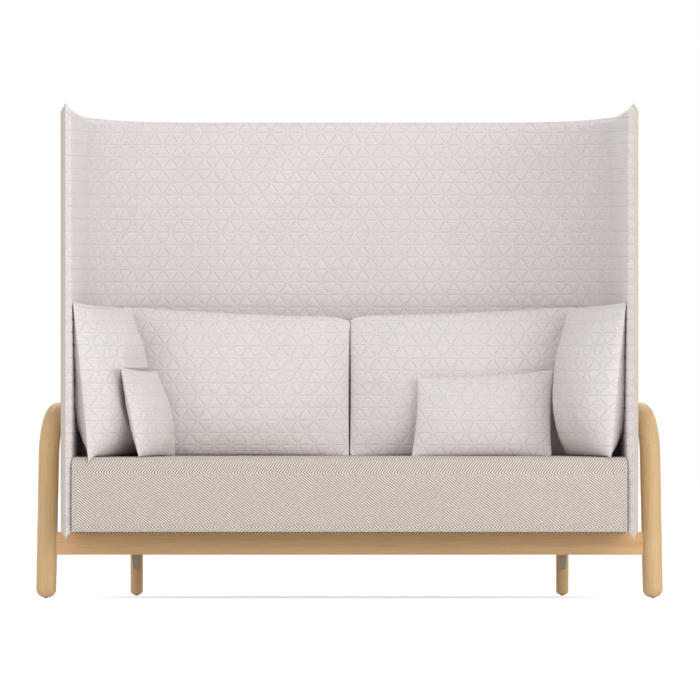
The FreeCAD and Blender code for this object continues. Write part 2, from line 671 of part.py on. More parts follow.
# Screws that hold the seat frame down on the side rails and the centre bearer
seat_screws = []
seat_screw_bores = []
bearer_bottom = rail_bottom + RAIL_ROUNDING
for x in (-side_rail_x, 0.0, side_rail_x):
    for depth in (rail_back + 2.0 * BLOCK_LEG, back_rail_front - 2.0 * BLOCK_LEG):
        start = at(x, depth, bearer_bottom + COUNTERBORE_DEPTH)
        head = rod(start, upward, SCREW_HEAD_DIAMETER / 2.0, SCREW_HEAD_HEIGHT)
        length = RAIL_TOP + SCREW_IN_FRAME - start.z
        seat_screws.append(head.fuse(rod(start, upward, SCREW_DIAMETER / 2.0, length)))
        access_start = at(x, depth, bearer_bottom - OVERCUT)
        access_depth = COUNTERBORE_DEPTH + SCREW_HEAD_HEIGHT + OVERCUT
        access = rod(access_start, upward, SCREW_HEAD_DIAMETER / 2.0 + BORE_CLEARANCE, access_depth)
        shank = rod(start, upward, SCREW_DIAMETER / 2.0 + BORE_CLEARANCE, length + BORE_CLEARANCE)
        seat_screw_bores.append(access.fuse(shank))
side_rail = cut_all(side_rail, seat_screw_bores)
centre_bearer = cut_all(centre_bearer, seat_screw_bores)
cross_members = [cut_all(member, seat_screw_bores) for member in cross_members]
dust_cover = cut_all(dust_cover, seat_screw_bores)

# Screws that hold the shell's core to the seat frame, driven from inside the frame
shell_screws = []
shell_screw_bores = []
screw_height = seat_bottom + SCREW_IN_FRAME
frame_face = SHELL_THICKNESS + PAD_GAP + filling_inset + SEAT_FRAME_BOARD
screw_reach = frame_face - half_shell
wing_out = Vector(math.cos(splay), math.sin(splay), 0)
places = []
for share in SHELL_SCREW_DEPTH_SHARES:
    depth = arc_depth * share
    offset = arc_offset + (outer_radius - frame_face) * math.cos(splay)
    offset = offset + (arc_depth + (outer_radius - frame_face) * math.sin(splay) - depth) * math.tan(splay)
    places.append((at(offset, depth, screw_height), wing_out))
for share in SHELL_SCREW_WIDTH_SHARES:
    places.append((at(arc_offset * share, SHELL_DEPTH - frame_face, screw_height), backward))
for start, axis in places:
    sizes = (axis, SCREW_DIAMETER / 2.0, screw_reach, SCREW_HEAD_DIAMETER / 2.0, SCREW_HEAD_HEIGHT)
    screw = countersunk(start, *sizes)
    bore = bore_for(start, *sizes)
    shell_screws.extend([screw, mirrored(screw)])
    shell_screw_bores.extend([bore, mirrored(bore)])
seat_frame = cut_all(seat_frame, shell_screw_bores)
seat_cover = cut_all(seat_cover, shell_screw_bores)
inner_pad = cut_all(inner_pad, shell_screw_bores)
core = cut_all(core, shell_screw_bores)


# Glides under the feet

def glide(x, depth):
    return rod(at(x, depth, 0.0), upward, GLIDE_DIAMETER / 2.0, GLIDE_HEIGHT)


glides = []
for side in (-1.0, 1.0):
    glides.append(glide(side * leg_at(0.0), FRONT_LEG_SETBACK))
    glides.append(glide(side * back_leg_x, back_leg_depth))


# Pillows

def swell(share):
    """How full a pillow is at a share of its half width or half height: 1 in the middle, 0 at the seam."""
    return (1.0 - share * share) ** PILLOW_FULL_SIDES


def pillow_section(half_side, to_front, to_back, z):
    """A level slice of a pillow: three arcs on its front face and three on its back."""
    front = [Vector(half_side * place, -to_front * swell(place), z) for place in PILLOW_PLACES]
    back = [Vector(half_side * place, to_back * swell(place), z) for place in reversed(PILLOW_PLACES)]
    edges = []
    for side in (front, back):
        for first in (0, 2, 4):
            edges.append(Part.Arc(side[first], side[first + 1], side[first + 2]).toShape())
    return Part.Wire(edges)


def pillow(width, height, front_swell, back_swell, top_slope):
    """A knife edged pillow on its lower seam, with a crown and with sides drawn in between the corners."""
    sections = []
    for level in PILLOW_LEVELS:
        drawn_in = PILLOW_DRAWN_IN * (1.0 - level * level)
        to_front = PILLOW_EDGE + (front_swell - PILLOW_EDGE) * swell(level)
        to_back = PILLOW_EDGE + (back_swell - PILLOW_EDGE) * swell(level)
        share = (level + 1.0) / 2.0
        section = pillow_section(width / 2.0 - drawn_in, to_front, to_back, height * share)
        section.rotate(Vector(0, 0, height * share), Vector(0, 1, 0), top_slope * share)
        sections.append(section)
    return Part.makeLoft(sections, True, False)


def placed(shape, lean_back, turn, x, depth):
    """A pillow leant back, turned about its upright axis and stood on the seat."""
    shape.rotate(Vector(0, 0, 0), Vector(1, 0, 0), -lean_back)
    shape.rotate(Vector(0, 0, 0), Vector(0, 0, 1), turn)
    shape.translate(at(x, depth, SEAT_TOP + 2.0 * SEAT_CROWN))
    return shape


def settle(shape, support, direction):
    """Move a pillow along a direction until it lies just clear of what carries it."""
    for attempt in range(SETTLE_STEPS):
        gap = shape.distToShape(support)[0] - SEAT_CLEARANCE
        if gap < PLACE_TOLERANCE:
            break
        shape.translate(direction * gap)
    return shape


def facing(shape, x_low, x_high):
    """The larger faces of a shape that lie between two offsets, which are enough to measure to."""
    faces = [face for face in shape.Faces if face.BoundBox.XMax > x_low and face.BoundBox.XMin < x_high]
    return Part.makeCompound([face for face in faces if face.Area > LARGE_FACE_AREA])


down = Vector(0, 0, -1)
left = Vector(-1, 0, 0)
seat_faces = facing(seat_outer, -SHELL_FRONT_WIDTH, SHELL_FRONT_WIDTH)
wall_faces = facing(inner_half, -SHELL_FRONT_WIDTH, 0.0)

back_pillow_width = half_width - BACK_PILLOW_SET_IN
left_back_pillow = pillow(
    back_pillow_width, BACK_PILLOW_HEIGHT, BACK_PILLOW_FRONT_SWELL, BACK_PILLOW_BACK_SWELL,
    BACK_PILLOW_TOP_SLOPE
)
left_back_pillow = placed(
    left_back_pillow, BACK_PILLOW_LEAN, 0.0, -(back_pillow_width + BACK_PILLOW_GAP) / 2.0,
    SHELL_DEPTH - BACK_PILLOW_FROM_BACK
)
left_back_pillow = settle(left_back_pillow, wall_faces, backward)
left_back_pillow = settle(left_back_pillow, seat_faces, down)
right_back_pillow = mirrored(left_back_pillow)

left_side_pillow = pillow(
    SIDE_PILLOW_WIDTH, SIDE_PILLOW_HEIGHT, SIDE_PILLOW_FRONT_SWELL, SIDE_PILLOW_BACK_SWELL, 0.0
)
left_side_pillow = placed(
    left_side_pillow, SIDE_PILLOW_LEAN, SIDE_PILLOW_TURN, SIDE_PILLOW_SET_IN - half_width, SIDE_PILLOW_DEPTH
)
left_side_pillow = settle(left_side_pillow, wall_faces, left)
left_side_pillow = settle(left_side_pillow, seat_faces, down)
right_side_pillow = mirrored(left_side_pillow)

left_small_pillow = pillow(
    SMALL_PILLOW_WIDTH, SMALL_PILLOW_HEIGHT, SMALL_PILLOW_FRONT_SWELL, SMALL_PILLOW_BACK_SWELL, 0.0
)
left_small_pillow = placed(
    left_small_pillow, SMALL_PILLOW_SIDE_LEAN, SMALL_PILLOW_TURN, SMALL_PILLOW_SIDE_SET_IN - half_width,
    SMALL_PILLOW_DEPTH
)
left_small_pillow = settle(left_small_pillow, seat_faces, down)
left_small_pillow = settle(left_small_pillow, left_side_pillow, left)

right_small_pillow = pillow(
    SMALL_PILLOW_WIDTH, SMALL_PILLOW_HEIGHT, SMALL_PILLOW_FRONT_SWELL, SMALL_PILLOW_BACK_SWELL,
    SMALL_PILLOW_TOP_SLOPE
)
right_small_pillow = placed(
    right_small_pillow, SMALL_PILLOW_BACK_LEAN, 0.0, half_width - SMALL_PILLOW_BACK_SET_IN,
    SHELL_DEPTH - SMALL_PILLOW_FROM_BACK
)
right_small_pillow = settle(right_small_pillow, seat_faces, down)
right_small_pillow = settle(right_small_pillow, right_back_pillow, backward)

nodes["left_hoop"] = mirrored(hoop)
nodes["right_hoop"] = hoop
nodes["foot_glides"] = Part.makeCompound(glides)
nodes["front_rail"] = front_rail
nodes["back_rail"] = back_rail
nodes["left_side_rail"] = mirrored(side_rail)
nodes["right_side_rail"] = side_rail
nodes["centre_bearer"] = centre_bearer
nodes["corner_blocks"] = Part.makeCompound(blocks)
nodes["left_back_leg_bracket"] = mirrored(bracket)
nodes["right_back_leg_bracket"] = bracket
nodes["front_leg_studs"] = Part.makeCompound(front_studs + [mirrored(stud) for stud in front_studs])
nodes["front_rail_dowel_nuts"] = Part.makeCompound(dowel_nuts + [mirrored(nut) for nut in dowel_nuts])
nodes["back_leg_bolts"] = Part.makeCompound(back_bolts + [mirrored(bolt) for bolt in back_bolts])
nodes["bracket_screws"] = Part.makeCompound(bracket_screws + [mirrored(screw) for screw in bracket_screws])
nodes["shell_core"] = core
nodes["shell_inner_pad"] = inner_pad
nodes["shell_outer_cover"] = outer_cover
nodes["hoop_spacers"] = Part.makeCompound(spacers + [mirrored(spacer) for spacer in spacers])
nodes["hoop_studs"] = Part.makeCompound(shell_studs + [mirrored(stud) for stud in shell_studs])
nodes["shell_tee_nuts"] = Part.makeCompound(tee_nuts + [mirrored(nut) for nut in tee_nuts])
nodes["seat_frame"] = seat_frame
nodes["seat_cross_members"] = Part.makeCompound(cross_members)
nodes["seat_webbing"] = Part.makeCompound(webbing)
nodes["seat_foam"] = seat_foam
nodes["seat_cover"] = seat_cover
nodes["seat_dust_cover"] = dust_cover
nodes["seat_fixing_screws"] = Part.makeCompound(seat_screws)
nodes["shell_fixing_screws"] = Part.makeCompound(shell_screws)
nodes["left_back_pillow"] = left_back_pillow
nodes["right_back_pillow"] = right_back_pillow
nodes["left_side_pillow"] = left_side_pillow
nodes["right_side_pillow"] = right_side_pillow
nodes["left_small_pillow"] = left_small_pillow
nodes["right_small_pillow"] = right_small_pillow

for name, shape in nodes.items():
    shape.exportStep("parts/" + name + ".step")
    print(name, len(shape.Solids), shape.isValid(), round(shape.Volume / 1000.0, 1))
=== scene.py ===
import bpy
import math
import numpy as np
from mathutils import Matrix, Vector
from mathutils import noise as surface_noise


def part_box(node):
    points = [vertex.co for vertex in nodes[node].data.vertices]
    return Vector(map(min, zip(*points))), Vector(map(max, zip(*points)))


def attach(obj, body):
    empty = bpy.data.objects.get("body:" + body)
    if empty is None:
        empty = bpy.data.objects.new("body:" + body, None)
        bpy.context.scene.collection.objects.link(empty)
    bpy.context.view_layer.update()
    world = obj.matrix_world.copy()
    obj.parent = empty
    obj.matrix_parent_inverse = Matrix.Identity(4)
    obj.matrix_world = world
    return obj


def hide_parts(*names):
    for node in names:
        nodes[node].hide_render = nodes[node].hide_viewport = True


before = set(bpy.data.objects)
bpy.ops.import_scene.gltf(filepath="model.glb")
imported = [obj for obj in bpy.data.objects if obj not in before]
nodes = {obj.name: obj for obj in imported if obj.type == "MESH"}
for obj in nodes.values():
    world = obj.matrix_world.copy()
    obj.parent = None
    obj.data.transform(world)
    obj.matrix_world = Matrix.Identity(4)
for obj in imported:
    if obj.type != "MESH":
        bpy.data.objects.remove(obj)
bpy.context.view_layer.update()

# Sizes of the shell, in metres
SHELL_WIDTH = 1.610
SHELL_DEPTH = 0.653
SHELL_THICKNESS = 0.030
SHELL_INNER_RADIUS = 0.289
SHELL_TOP = 1.371
WING_SPLAY = math.radians(5.7)
RIM_SLOPE = math.tan(math.radians(3.6))
RIM_BEVEL = 0.0165
BEVEL_CUTS = (0.0, 0.25, 0.6, 1.0)
BEVEL_CURVE = 1.15
TIP_LENGTH = 0.0075
TIP_REACH = 0.050
TIP_HEIGHT = 0.04
SPARE_CLOTH = 0.01
LINING_CLOTH = 0.0016
OUTER_CLOTH = 0.0014
OUTER_COLUMNS, OUTER_ROWS = 180, 64

# Sizes of the quilting
POCKET_WIDTH = 0.0469
POCKET_HEIGHT = 0.0351
LEVEL_LINE = 0.8116
NODE_OFFSET = 0.0132
SHELL_PUFF = 0.0014
PILLOW_PUFF = 0.0013
PUFF_FADE = 0.006
GROOVE = 0.0036
STITCH_GAP = 0.0085
LINING_CUTS = 6
PILLOW_CUTS = 7

# Sizes of the pillows, and how their filling swells
SLIVER = 0.0011
FOOT_SAG = 0.004
SIDE_FULLNESS = 0.68
FRONT_FULLNESS = 0.58
REAR_FULLNESS = 0.42
FRONT_SETTLED = 0.10
REAR_SETTLED = 0.20
WAVE_DEPTH = 0.005
CREASE_DEPTH = 0.0016
PRESSED_GAP = 0.0065
PRESSED_ABOVE = 0.100
PRESSED_FADE = 0.095
LINING_GAP = 0.0004

# Sizes of the seat. The pillows stand at SEAT_TOP
SEAT_TOP = 0.3958
SEAT_EDGE = 0.026
SEAT_CROWN = 0.0015
SEAT_FRONT_LEAN = 0.003
SEAT_HEM = 0.006
SEAT_FROM_LINING = 0.003
SEAT_COLUMNS = 150
TOP_SEAM_DROP, TOP_SEAM_SINK = 0.0415, 0.0022
HEM_SEAM_RISE, HEM_SEAM_SINK = 0.014, 0.0018
SEAM_WIDTH = 0.0035
BORDER_DEPTH = 0.012
BORDER_DROP = 0.01
TURN_DEPTH = 0.03
END_STRIP = 0.009
TOP_TWILL_ACROSS, TOP_TWILL_ALONG = 1.30, 0.77

front_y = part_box("shell_outer_cover")[0].y
shell_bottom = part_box("shell_outer_cover")[0].z
seat_low, seat_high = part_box("seat_cover")
outer_radius = SHELL_INNER_RADIUS + SHELL_THICKNESS
arc_depth = SHELL_DEPTH - outer_radius
wing_run = (arc_depth + outer_radius * math.sin(WING_SPLAY)) * math.tan(WING_SPLAY)
arc_offset = SHELL_WIDTH / 2 - outer_radius * math.cos(WING_SPLAY) - wing_run
corner_turn = math.pi / 2 - WING_SPLAY


# Small helpers for work on one piece at a time

def take(piece):
    bpy.ops.object.select_all(action="DESELECT")
    piece.select_set(True)
    bpy.context.view_layer.objects.active = piece


def points_of(piece):
    points = np.empty(len(piece.data.vertices) * 3, np.float32)
    piece.data.vertices.foreach_get("co", points)
    return points.reshape(-1, 3).astype(float)


def place_points(piece, points):
    piece.data.vertices.foreach_set("co", np.ascontiguousarray(points, np.float32).ravel())
    piece.data.update()


def apply_all(piece):
    take(piece)
    for modifier in list(piece.modifiers):
        bpy.ops.object.modifier_apply(modifier=modifier.name)


def cut_with_plane(point, normal, clear):
    """Cut the whole piece being edited with a plane, and drop what lies beyond it if asked."""
    bpy.ops.mesh.select_all(action="SELECT")
    bpy.ops.mesh.bisect(plane_co=point, plane_no=normal, clear_outer=clear, clear_inner=False, threshold=1e-6)


def finish_piece(piece, cloth, replaced):
    """Give a padded piece its cloth, hide the node it stands for and hang it from the root body."""
    piece.data.materials.clear()
    piece.data.materials.append(cloth)
    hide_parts(replaced)
    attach(piece, "root")


# Materials

def new_material(name, colour, roughness, sheen=0.0):
    material = bpy.data.materials.new(name)
    material.use_nodes = True
    shader = material.node_tree.nodes["Principled BSDF"]
    shader.inputs["Base Color"].default_value = (*colour, 1)
    shader.inputs["Roughness"].default_value = roughness
    shader.inputs["Sheen Weight"].default_value = sheen
    return material, material.node_tree, shader


def add(tree, kind, **values):
    node = tree.nodes.new(kind)
    for name, value in values.items():
        setattr(node, name, value)
    return node


def calc(tree, operation, first, second=None, third=None, clamp=False):
    """One sum in a material. A value may be a number or the output of another node."""
    node = add(tree, "ShaderNodeMath", operation=operation, use_clamp=clamp)
    for socket, value in zip(node.inputs, (first, second, third)):
        if value is None:
            continue
        if isinstance(value, (int, float)):
            socket.default_value = value
        else:
            tree.links.new(value, socket)
    return node.outputs[0]


def colour_between(tree, shader, tone, dark, light):
    """Colour a material between two colours, by a tone from nought to one."""
    node = add(tree, "ShaderNodeMix", data_type="RGBA")
    tree.links.new(tone, node.inputs[0])
    node.inputs[6].default_value = (*dark, 1)
    node.inputs[7].default_value = (*light, 1)
    tree.links.new(node.outputs[2], shader.inputs["Base Color"])


def shades(colour, low, high):
    """A darker and a lighter shade of a colour."""
    return tuple(value * low for value in colour), tuple(min(value * high, 1.0) for value in colour)


def noise(tree, vector, scale, detail=2.0, roughness=0.5):
    node = add(tree, "ShaderNodeTexNoise")
    node.inputs["Scale"].default_value = scale
    node.inputs["Detail"].default_value = detail
    node.inputs["Roughness"].default_value = roughness
    tree.links.new(vector, node.inputs["Vector"])
    return node.outputs["Fac"]


def stretch(tree, vector, scale):
    node = add(tree, "ShaderNodeMapping")
    node.inputs["Scale"].default_value = scale
    tree.links.new(vector, node.inputs["Vector"])
    return node.outputs[0]


def bump(tree, shader, height, distance):
    node = add(tree, "ShaderNodeBump")
    node.inputs["Distance"].default_value = distance
    node.inputs["Strength"].default_value = 1.0
    tree.links.new(height, node.inputs["Height"])
    tree.links.new(node.outputs[0], shader.inputs["Normal"])


def object_place(tree):
    return add(tree, "ShaderNodeTexCoord").outputs["Object"]


def quilted_cloth():
    """Pale cloth quilted in triangles. Its map counts pockets, so stitches run at every whole number."""
    colour = (0.712, 0.662, 0.648)
    material, tree, shader = new_material("quilted_cloth", colour, 0.92, sheen=0.15)
    shader.inputs["Sheen Roughness"].default_value = 0.6
    uv = add(tree, "ShaderNodeUVMap", uv_map="pockets")
    parts = add(tree, "ShaderNodeSeparateXYZ")
    tree.links.new(uv.outputs[0], parts.inputs[0])
    across, up = parts.outputs[0], parts.outputs[1]
    both = calc(tree, "ADD", across, up)
    place = object_place(tree)
    slub = noise(tree, stretch(tree, place, (60, 60, 420)), 1.0, 3.0)
    fleck = noise(tree, place, 900.0, 1.0)
    cloud = noise(tree, place, 7.0, 2.0)
    uneven = calc(tree, "MULTIPLY_ADD", noise(tree, place, 130.0, 2.0), 1.8, -0.9)
    slanted_height = POCKET_WIDTH * POCKET_HEIGHT / math.hypot(POCKET_WIDTH / 2, POCKET_HEIGHT)
    # Each line of stitches lies in a soft groove with a raised edge, and stops short of the nodes. Besides
    # the bump, the groove is painted darker as shade and the raised edge lighter as a highlight.
    # These widths are in millimetres
    groove_half, ridge_place, ridge_half = 2.6, 4.2, 2.4
    lines = ((up, across, POCKET_HEIGHT), (across, up, slanted_height), (both, up, slanted_height))
    groove_and_shade, ridge_and_highlight = 0.0, 0.0
    for line, along, size in lines:
        gap = calc(tree, "MULTIPLY", calc(tree, "PINGPONG", line, 0.5), size * 1000)
        gap = calc(tree, "ADD", gap, uneven)
        from_node = calc(tree, "MULTIPLY", calc(tree, "PINGPONG", along, 0.5), POCKET_WIDTH / STITCH_GAP)
        stitched = calc(tree, "MULTIPLY_ADD", calc(tree, "MINIMUM", from_node, 1.0), 0.85, 0.15)
        sunk = calc(tree, "SUBTRACT", 1.0, calc(tree, "DIVIDE", gap, groove_half), clamp=True)
        groove_and_shade = calc(tree, "MAXIMUM", calc(tree, "MULTIPLY", sunk, stitched), groove_and_shade)
        from_ridge = calc(tree, "SUBTRACT", gap, ridge_place)
        raised = calc(tree, "ABSOLUTE", calc(tree, "DIVIDE", from_ridge, ridge_half))
        raised = calc(tree, "MULTIPLY", calc(tree, "SUBTRACT", 1.0, raised, clamp=True), stitched)
        ridge_and_highlight = calc(tree, "MAXIMUM", raised, ridge_and_highlight)
    # Fine level ribs and crossing threads, so many to a pocket
    ribs_per_row, fine_ribs_per_row, threads_per_pocket = 5, 23, 29
    ribs = calc(tree, "SINE", calc(tree, "MULTIPLY", up, 2 * math.pi * ribs_per_row))
    fine_ribs = calc(tree, "SINE", calc(tree, "MULTIPLY", up, 2 * math.pi * fine_ribs_per_row))
    level = calc(tree, "MULTIPLY_ADD", up, 0.5, across)
    threads = calc(tree, "SINE", calc(tree, "MULTIPLY", level, 2 * math.pi * threads_per_pocket))
    tone = calc(tree, "MULTIPLY_ADD", ribs, 0.07, 0.5)
    tone = calc(tree, "MULTIPLY_ADD", fine_ribs, 0.05, tone)
    tone = calc(tree, "MULTIPLY_ADD", threads, 0.05, tone)
    tone = calc(tree, "MULTIPLY_ADD", slub, 1.15, tone)
    tone = calc(tree, "MULTIPLY_ADD", fleck, 0.3, tone)
    tone = calc(tree, "MULTIPLY_ADD", cloud, 0.25, calc(tree, "SUBTRACT", tone, 0.795))
    # Painted highlight on the raised edges and painted shade in the grooves
    tone = calc(tree, "MULTIPLY_ADD", ridge_and_highlight, 0.16, tone)
    tone = calc(tree, "MULTIPLY_ADD", groove_and_shade, -0.38, tone, clamp=True)
    colour_between(tree, shader, tone, *shades(colour, 0.82, 1.09))
    height = calc(tree, "MULTIPLY_ADD", ridge_and_highlight, 0.25, calc(tree, "MULTIPLY", groove_and_shade, -1.0))
    height = calc(tree, "MULTIPLY_ADD", ribs, 0.12, height)
    height = calc(tree, "MULTIPLY_ADD", fine_ribs, 0.05, height)
    height = calc(tree, "MULTIPLY_ADD", threads, 0.05, height)
    height = calc(tree, "MULTIPLY_ADD", fleck, 0.20, height)
    bump(tree, shader, height, 0.0007)
    return material


def plain_cloth():
    """Plain beige cloth with a close weave."""
    colour = (0.600, 0.545, 0.475)
    material, tree, shader = new_material("plain_cloth", colour, 0.93, sheen=0.12)
    place = object_place(tree)
    close, loose = 700, 45
    uprights = noise(tree, stretch(tree, place, (close, close, loose)), 1.0, 2.0)
    levels = noise(tree, stretch(tree, place, (loose, loose, close)), 1.0, 2.0)
    cloud = noise(tree, place, 9.0, 3.0)
    tone = calc(tree, "ADD", calc(tree, "MULTIPLY", uprights, 0.55), calc(tree, "MULTIPLY", levels, 0.55))
    tone = calc(tree, "MULTIPLY_ADD", cloud, 0.25, calc(tree, "SUBTRACT", tone, 0.17), clamp=True)
    colour_between(tree, shader, tone, *shades(colour, 0.82, 1.14))
    bump(tree, shader, calc(tree, "ADD", uprights, levels), 0.0006)
    return material


def twill_cloth():
    """Cream and grey twill. Its map gives metres along the two thread directions."""
    cream = (0.850, 0.780, 0.705)
    grey = (0.205, 0.165, 0.135)
    pitch_across, pitch_along, stair_pitch = 0.00965, 0.00742, 0.0024
    material, tree, shader = new_material("twill_cloth", cream, 0.9, sheen=0.1)
    uv = add(tree, "ShaderNodeUVMap", uv_map="threads")
    parts = add(tree, "ShaderNodeSeparateXYZ")
    tree.links.new(uv.outputs[0], parts.inputs[0])
    first = calc(tree, "MULTIPLY", parts.outputs[0], 1.0 / pitch_across)
    second = calc(tree, "MULTIPLY", parts.outputs[1], 1.0 / pitch_along)
    place = object_place(tree)
    wander = calc(tree, "MULTIPLY_ADD", noise(tree, place, 60.0, 2.0), 0.35, -0.17)
    steps = calc(tree, "MULTIPLY", parts.outputs[0], 1.0 / stair_pitch)
    stair = calc(tree, "MULTIPLY", calc(tree, "SINE", calc(tree, "MULTIPLY", steps, 2 * math.pi)), 0.05)
    phase = calc(tree, "ADD", calc(tree, "ADD", calc(tree, "ADD", first, second), wander), stair)
    wave = calc(tree, "SINE", calc(tree, "MULTIPLY", phase, 2 * math.pi))
    fleck = noise(tree, place, 700.0, 1.0)
    patch = noise(tree, place, 90.0, 2.0)
    tone = calc(tree, "MULTIPLY_ADD", wave, 0.80, 0.16)
    tone = calc(tree, "MULTIPLY_ADD", fleck, 0.5, tone)
    tone = calc(tree, "MULTIPLY_ADD", patch, 0.3, tone, clamp=True)
    colour_between(tree, shader, tone, grey, cream)
    height = calc(tree, "MULTIPLY_ADD", fleck, 0.3, wave)
    bump(tree, shader, height, 0.0005)
    return material


def wood(name, grain_scale, pale, deep, turn_height=None):
    """Oiled wood with straight grain along the given direction. Above turn_height it runs to the back."""
    material, tree, shader = new_material(name, pale, 0.48)
    place = object_place(tree)

    def grain(scale, density, rough):
        return noise(tree, stretch(tree, place, tuple(value * density for value in scale)), 1.0, 3.0, rough)

    fine_density, broad_density, fine_rough, broad_rough = 420, 60, 0.6, 0.55
    fine = grain(grain_scale, fine_density, fine_rough)
    broad = grain(grain_scale, broad_density, broad_rough)
    if turn_height is not None:
        along_back, bend_half = (1.0, 0.03, 1.0), 0.035
        fine_back = grain(along_back, fine_density, fine_rough)
        broad_back = grain(along_back, broad_density, broad_rough)
        parts = add(tree, "ShaderNodeSeparateXYZ")
        tree.links.new(place, parts.inputs[0])
        share = add(tree, "ShaderNodeMapRange", interpolation_type="SMOOTHSTEP")
        share.inputs["From Min"].default_value = turn_height - bend_half
        share.inputs["From Max"].default_value = turn_height + bend_half
        tree.links.new(parts.outputs[2], share.inputs[0])
        pairs = []
        for low, high in ((fine, fine_back), (broad, broad_back)):
            blend = add(tree, "ShaderNodeMix", data_type="FLOAT")
            tree.links.new(share.outputs[0], blend.inputs[0])
            tree.links.new(low, blend.inputs[2])
            tree.links.new(high, blend.inputs[3])
            pairs.append(blend.outputs[0])
        fine, broad = pairs
    tone = calc(tree, "MULTIPLY_ADD", fine, 1.6, -0.55)
    tone = calc(tree, "MULTIPLY_ADD", broad, 1.2, calc(tree, "SUBTRACT", tone, 0.42), clamp=True)
    colour_between(tree, shader, tone, deep, pale)
    rough = calc(tree, "MULTIPLY_ADD", fine, 0.16, 0.40)
    tree.links.new(rough, shader.inputs["Roughness"])
    bump(tree, shader, fine, 0.00012)
    return material


def metal(name, colour, roughness, metallic):
    material, tree, shader = new_material(name, colour, roughness)
    shader.inputs["Metallic"].default_value = metallic
    place = object_place(tree)
    speckle = noise(tree, place, 1400.0, 2.0)
    cloud = noise(tree, place, 40.0, 3.0)
    tone = calc(tree, "MULTIPLY_ADD", speckle, 0.4, calc(tree, "MULTIPLY", cloud, 0.6), clamp=True)
    colour_between(tree, shader, tone, *shades(colour, 0.82, 1.12))
    tree.links.new(calc(tree, "MULTIPLY_ADD", cloud, 0.14, roughness - 0.07), shader.inputs["Roughness"])
    bump(tree, shader, speckle, 0.00008)
    return material


def speckled(name, colour, roughness, size):
    """Foam, black cloth and moulded feet: one colour with a fine uneven surface."""
    material, tree, shader = new_material(name, colour, roughness)
    grain = noise(tree, object_place(tree), size, 3.0)
    colour_between(tree, shader, grain, *shades(colour, 0.8, 1.2))
    bump(tree, shader, grain, 0.0004)
    return material


wood_pale = (0.735, 0.502, 0.262)
wood_deep = (0.540, 0.340, 0.152)
QUILTED = quilted_cloth()
PLAIN = plain_cloth()
TWILL = twill_cloth()
HOOP_WOOD = wood("hoop_wood", (1.0, 1.0, 0.03), wood_pale, wood_deep, turn_height=0.470)
# The rails' wood is tinted redder than the hoops' wood as painted warm shade from under the seat
SHADE_TINTED_RAIL_WOOD = wood("rail_wood", (0.03, 1.0, 1.0), (0.785, 0.495, 0.245), (0.600, 0.345, 0.150))
DEPTH_WOOD = wood("side_rail_wood", (1.0, 0.03, 1.0), wood_pale, wood_deep)
PLYWOOD = wood("birch_plywood", (0.05, 0.05, 1.0), (0.60, 0.43, 0.26), (0.40, 0.27, 0.15))
BRACKET_STEEL = metal("grey_steel", (0.370, 0.315, 0.250), 0.5, 0.25)
PLATED_STEEL = metal("plated_steel", (0.62, 0.62, 0.60), 0.32, 1.0)
FOAM = speckled("seat_foam_yellow", (0.80, 0.74, 0.55), 0.95, 600.0)
BELT_CLOTH = speckled("belt_cloth", (0.05, 0.048, 0.045), 0.9, 900.0)
DUST_CLOTH = speckled("dust_cloth", (0.022, 0.022, 0.022), 0.95, 1100.0)
GLIDE_NYLON = speckled("glide_nylon", (0.035, 0.032, 0.030), 0.55, 700.0)

node_materials = {
    "left_hoop": HOOP_WOOD, "right_hoop": HOOP_WOOD,
    "front_rail": SHADE_TINTED_RAIL_WOOD, "back_rail": SHADE_TINTED_RAIL_WOOD,
    "left_side_rail": DEPTH_WOOD, "right_side_rail": DEPTH_WOOD, "centre_bearer": DEPTH_WOOD,
    "corner_blocks": DEPTH_WOOD, "hoop_spacers": DEPTH_WOOD,
    "foot_glides": GLIDE_NYLON,
    "left_back_leg_bracket": BRACKET_STEEL, "right_back_leg_bracket": BRACKET_STEEL,
    "front_leg_studs": PLATED_STEEL, "front_rail_dowel_nuts": PLATED_STEEL, "back_leg_bolts": BRACKET_STEEL,
    "bracket_screws": BRACKET_STEEL, "hoop_studs": PLATED_STEEL, "shell_tee_nuts": PLATED_STEEL,
    "seat_fixing_screws": PLATED_STEEL, "shell_fixing_screws": PLATED_STEEL,
    "shell_core": PLYWOOD, "seat_frame": PLYWOOD, "seat_cross_members": PLYWOOD,
    "seat_webbing": BELT_CLOTH, "seat_foam": FOAM, "seat_dust_cover": DUST_CLOTH,
}
for node_name, material in node_materials.items():
    for material_slot in nodes[node_name].material_slots:
        material_slot.material = material


# Shell

def face_point(run, inset):
    """Places on the shell's plan at runs along its face, and the outward direction there."""
    radius = outer_radius - inset
    sign = np.where(run < 0, -1.0, 1.0)
    run = np.abs(run)
    angle = np.clip((run - arc_offset) / radius, 0.0, corner_turn)
    past = np.maximum(run - arc_offset - radius * corner_turn, 0.0)
    x = np.minimum(run, arc_offset) + radius * np.sin(angle) + past * math.sin(WING_SPLAY)
    depth = arc_depth + radius * np.cos(angle) - past * math.cos(WING_SPLAY)
    return x * sign, depth, np.sin(angle) * sign, np.cos(angle)


def run_of(x, depth, inset):
    """The run along the shell's face of places on it."""
    radius = outer_radius - inset
    side = np.abs(x)
    angle = np.arctan2(side - arc_offset, depth - arc_depth)
    on_arc = np.clip(angle, 0.0, corner_turn)
    tangent_x = arc_offset + radius * math.cos(WING_SPLAY)
    tangent_depth = arc_depth + radius * math.sin(WING_SPLAY)
    past = (side - tangent_x) * math.sin(WING_SPLAY) - (depth - tangent_depth) * math.cos(WING_SPLAY)
    past = np.where(angle > corner_turn, np.maximum(past, 0.0), 0.0)
    run = np.where(side <= arc_offset, side, arc_offset + radius * on_arc + past)
    return run * np.sign(x)


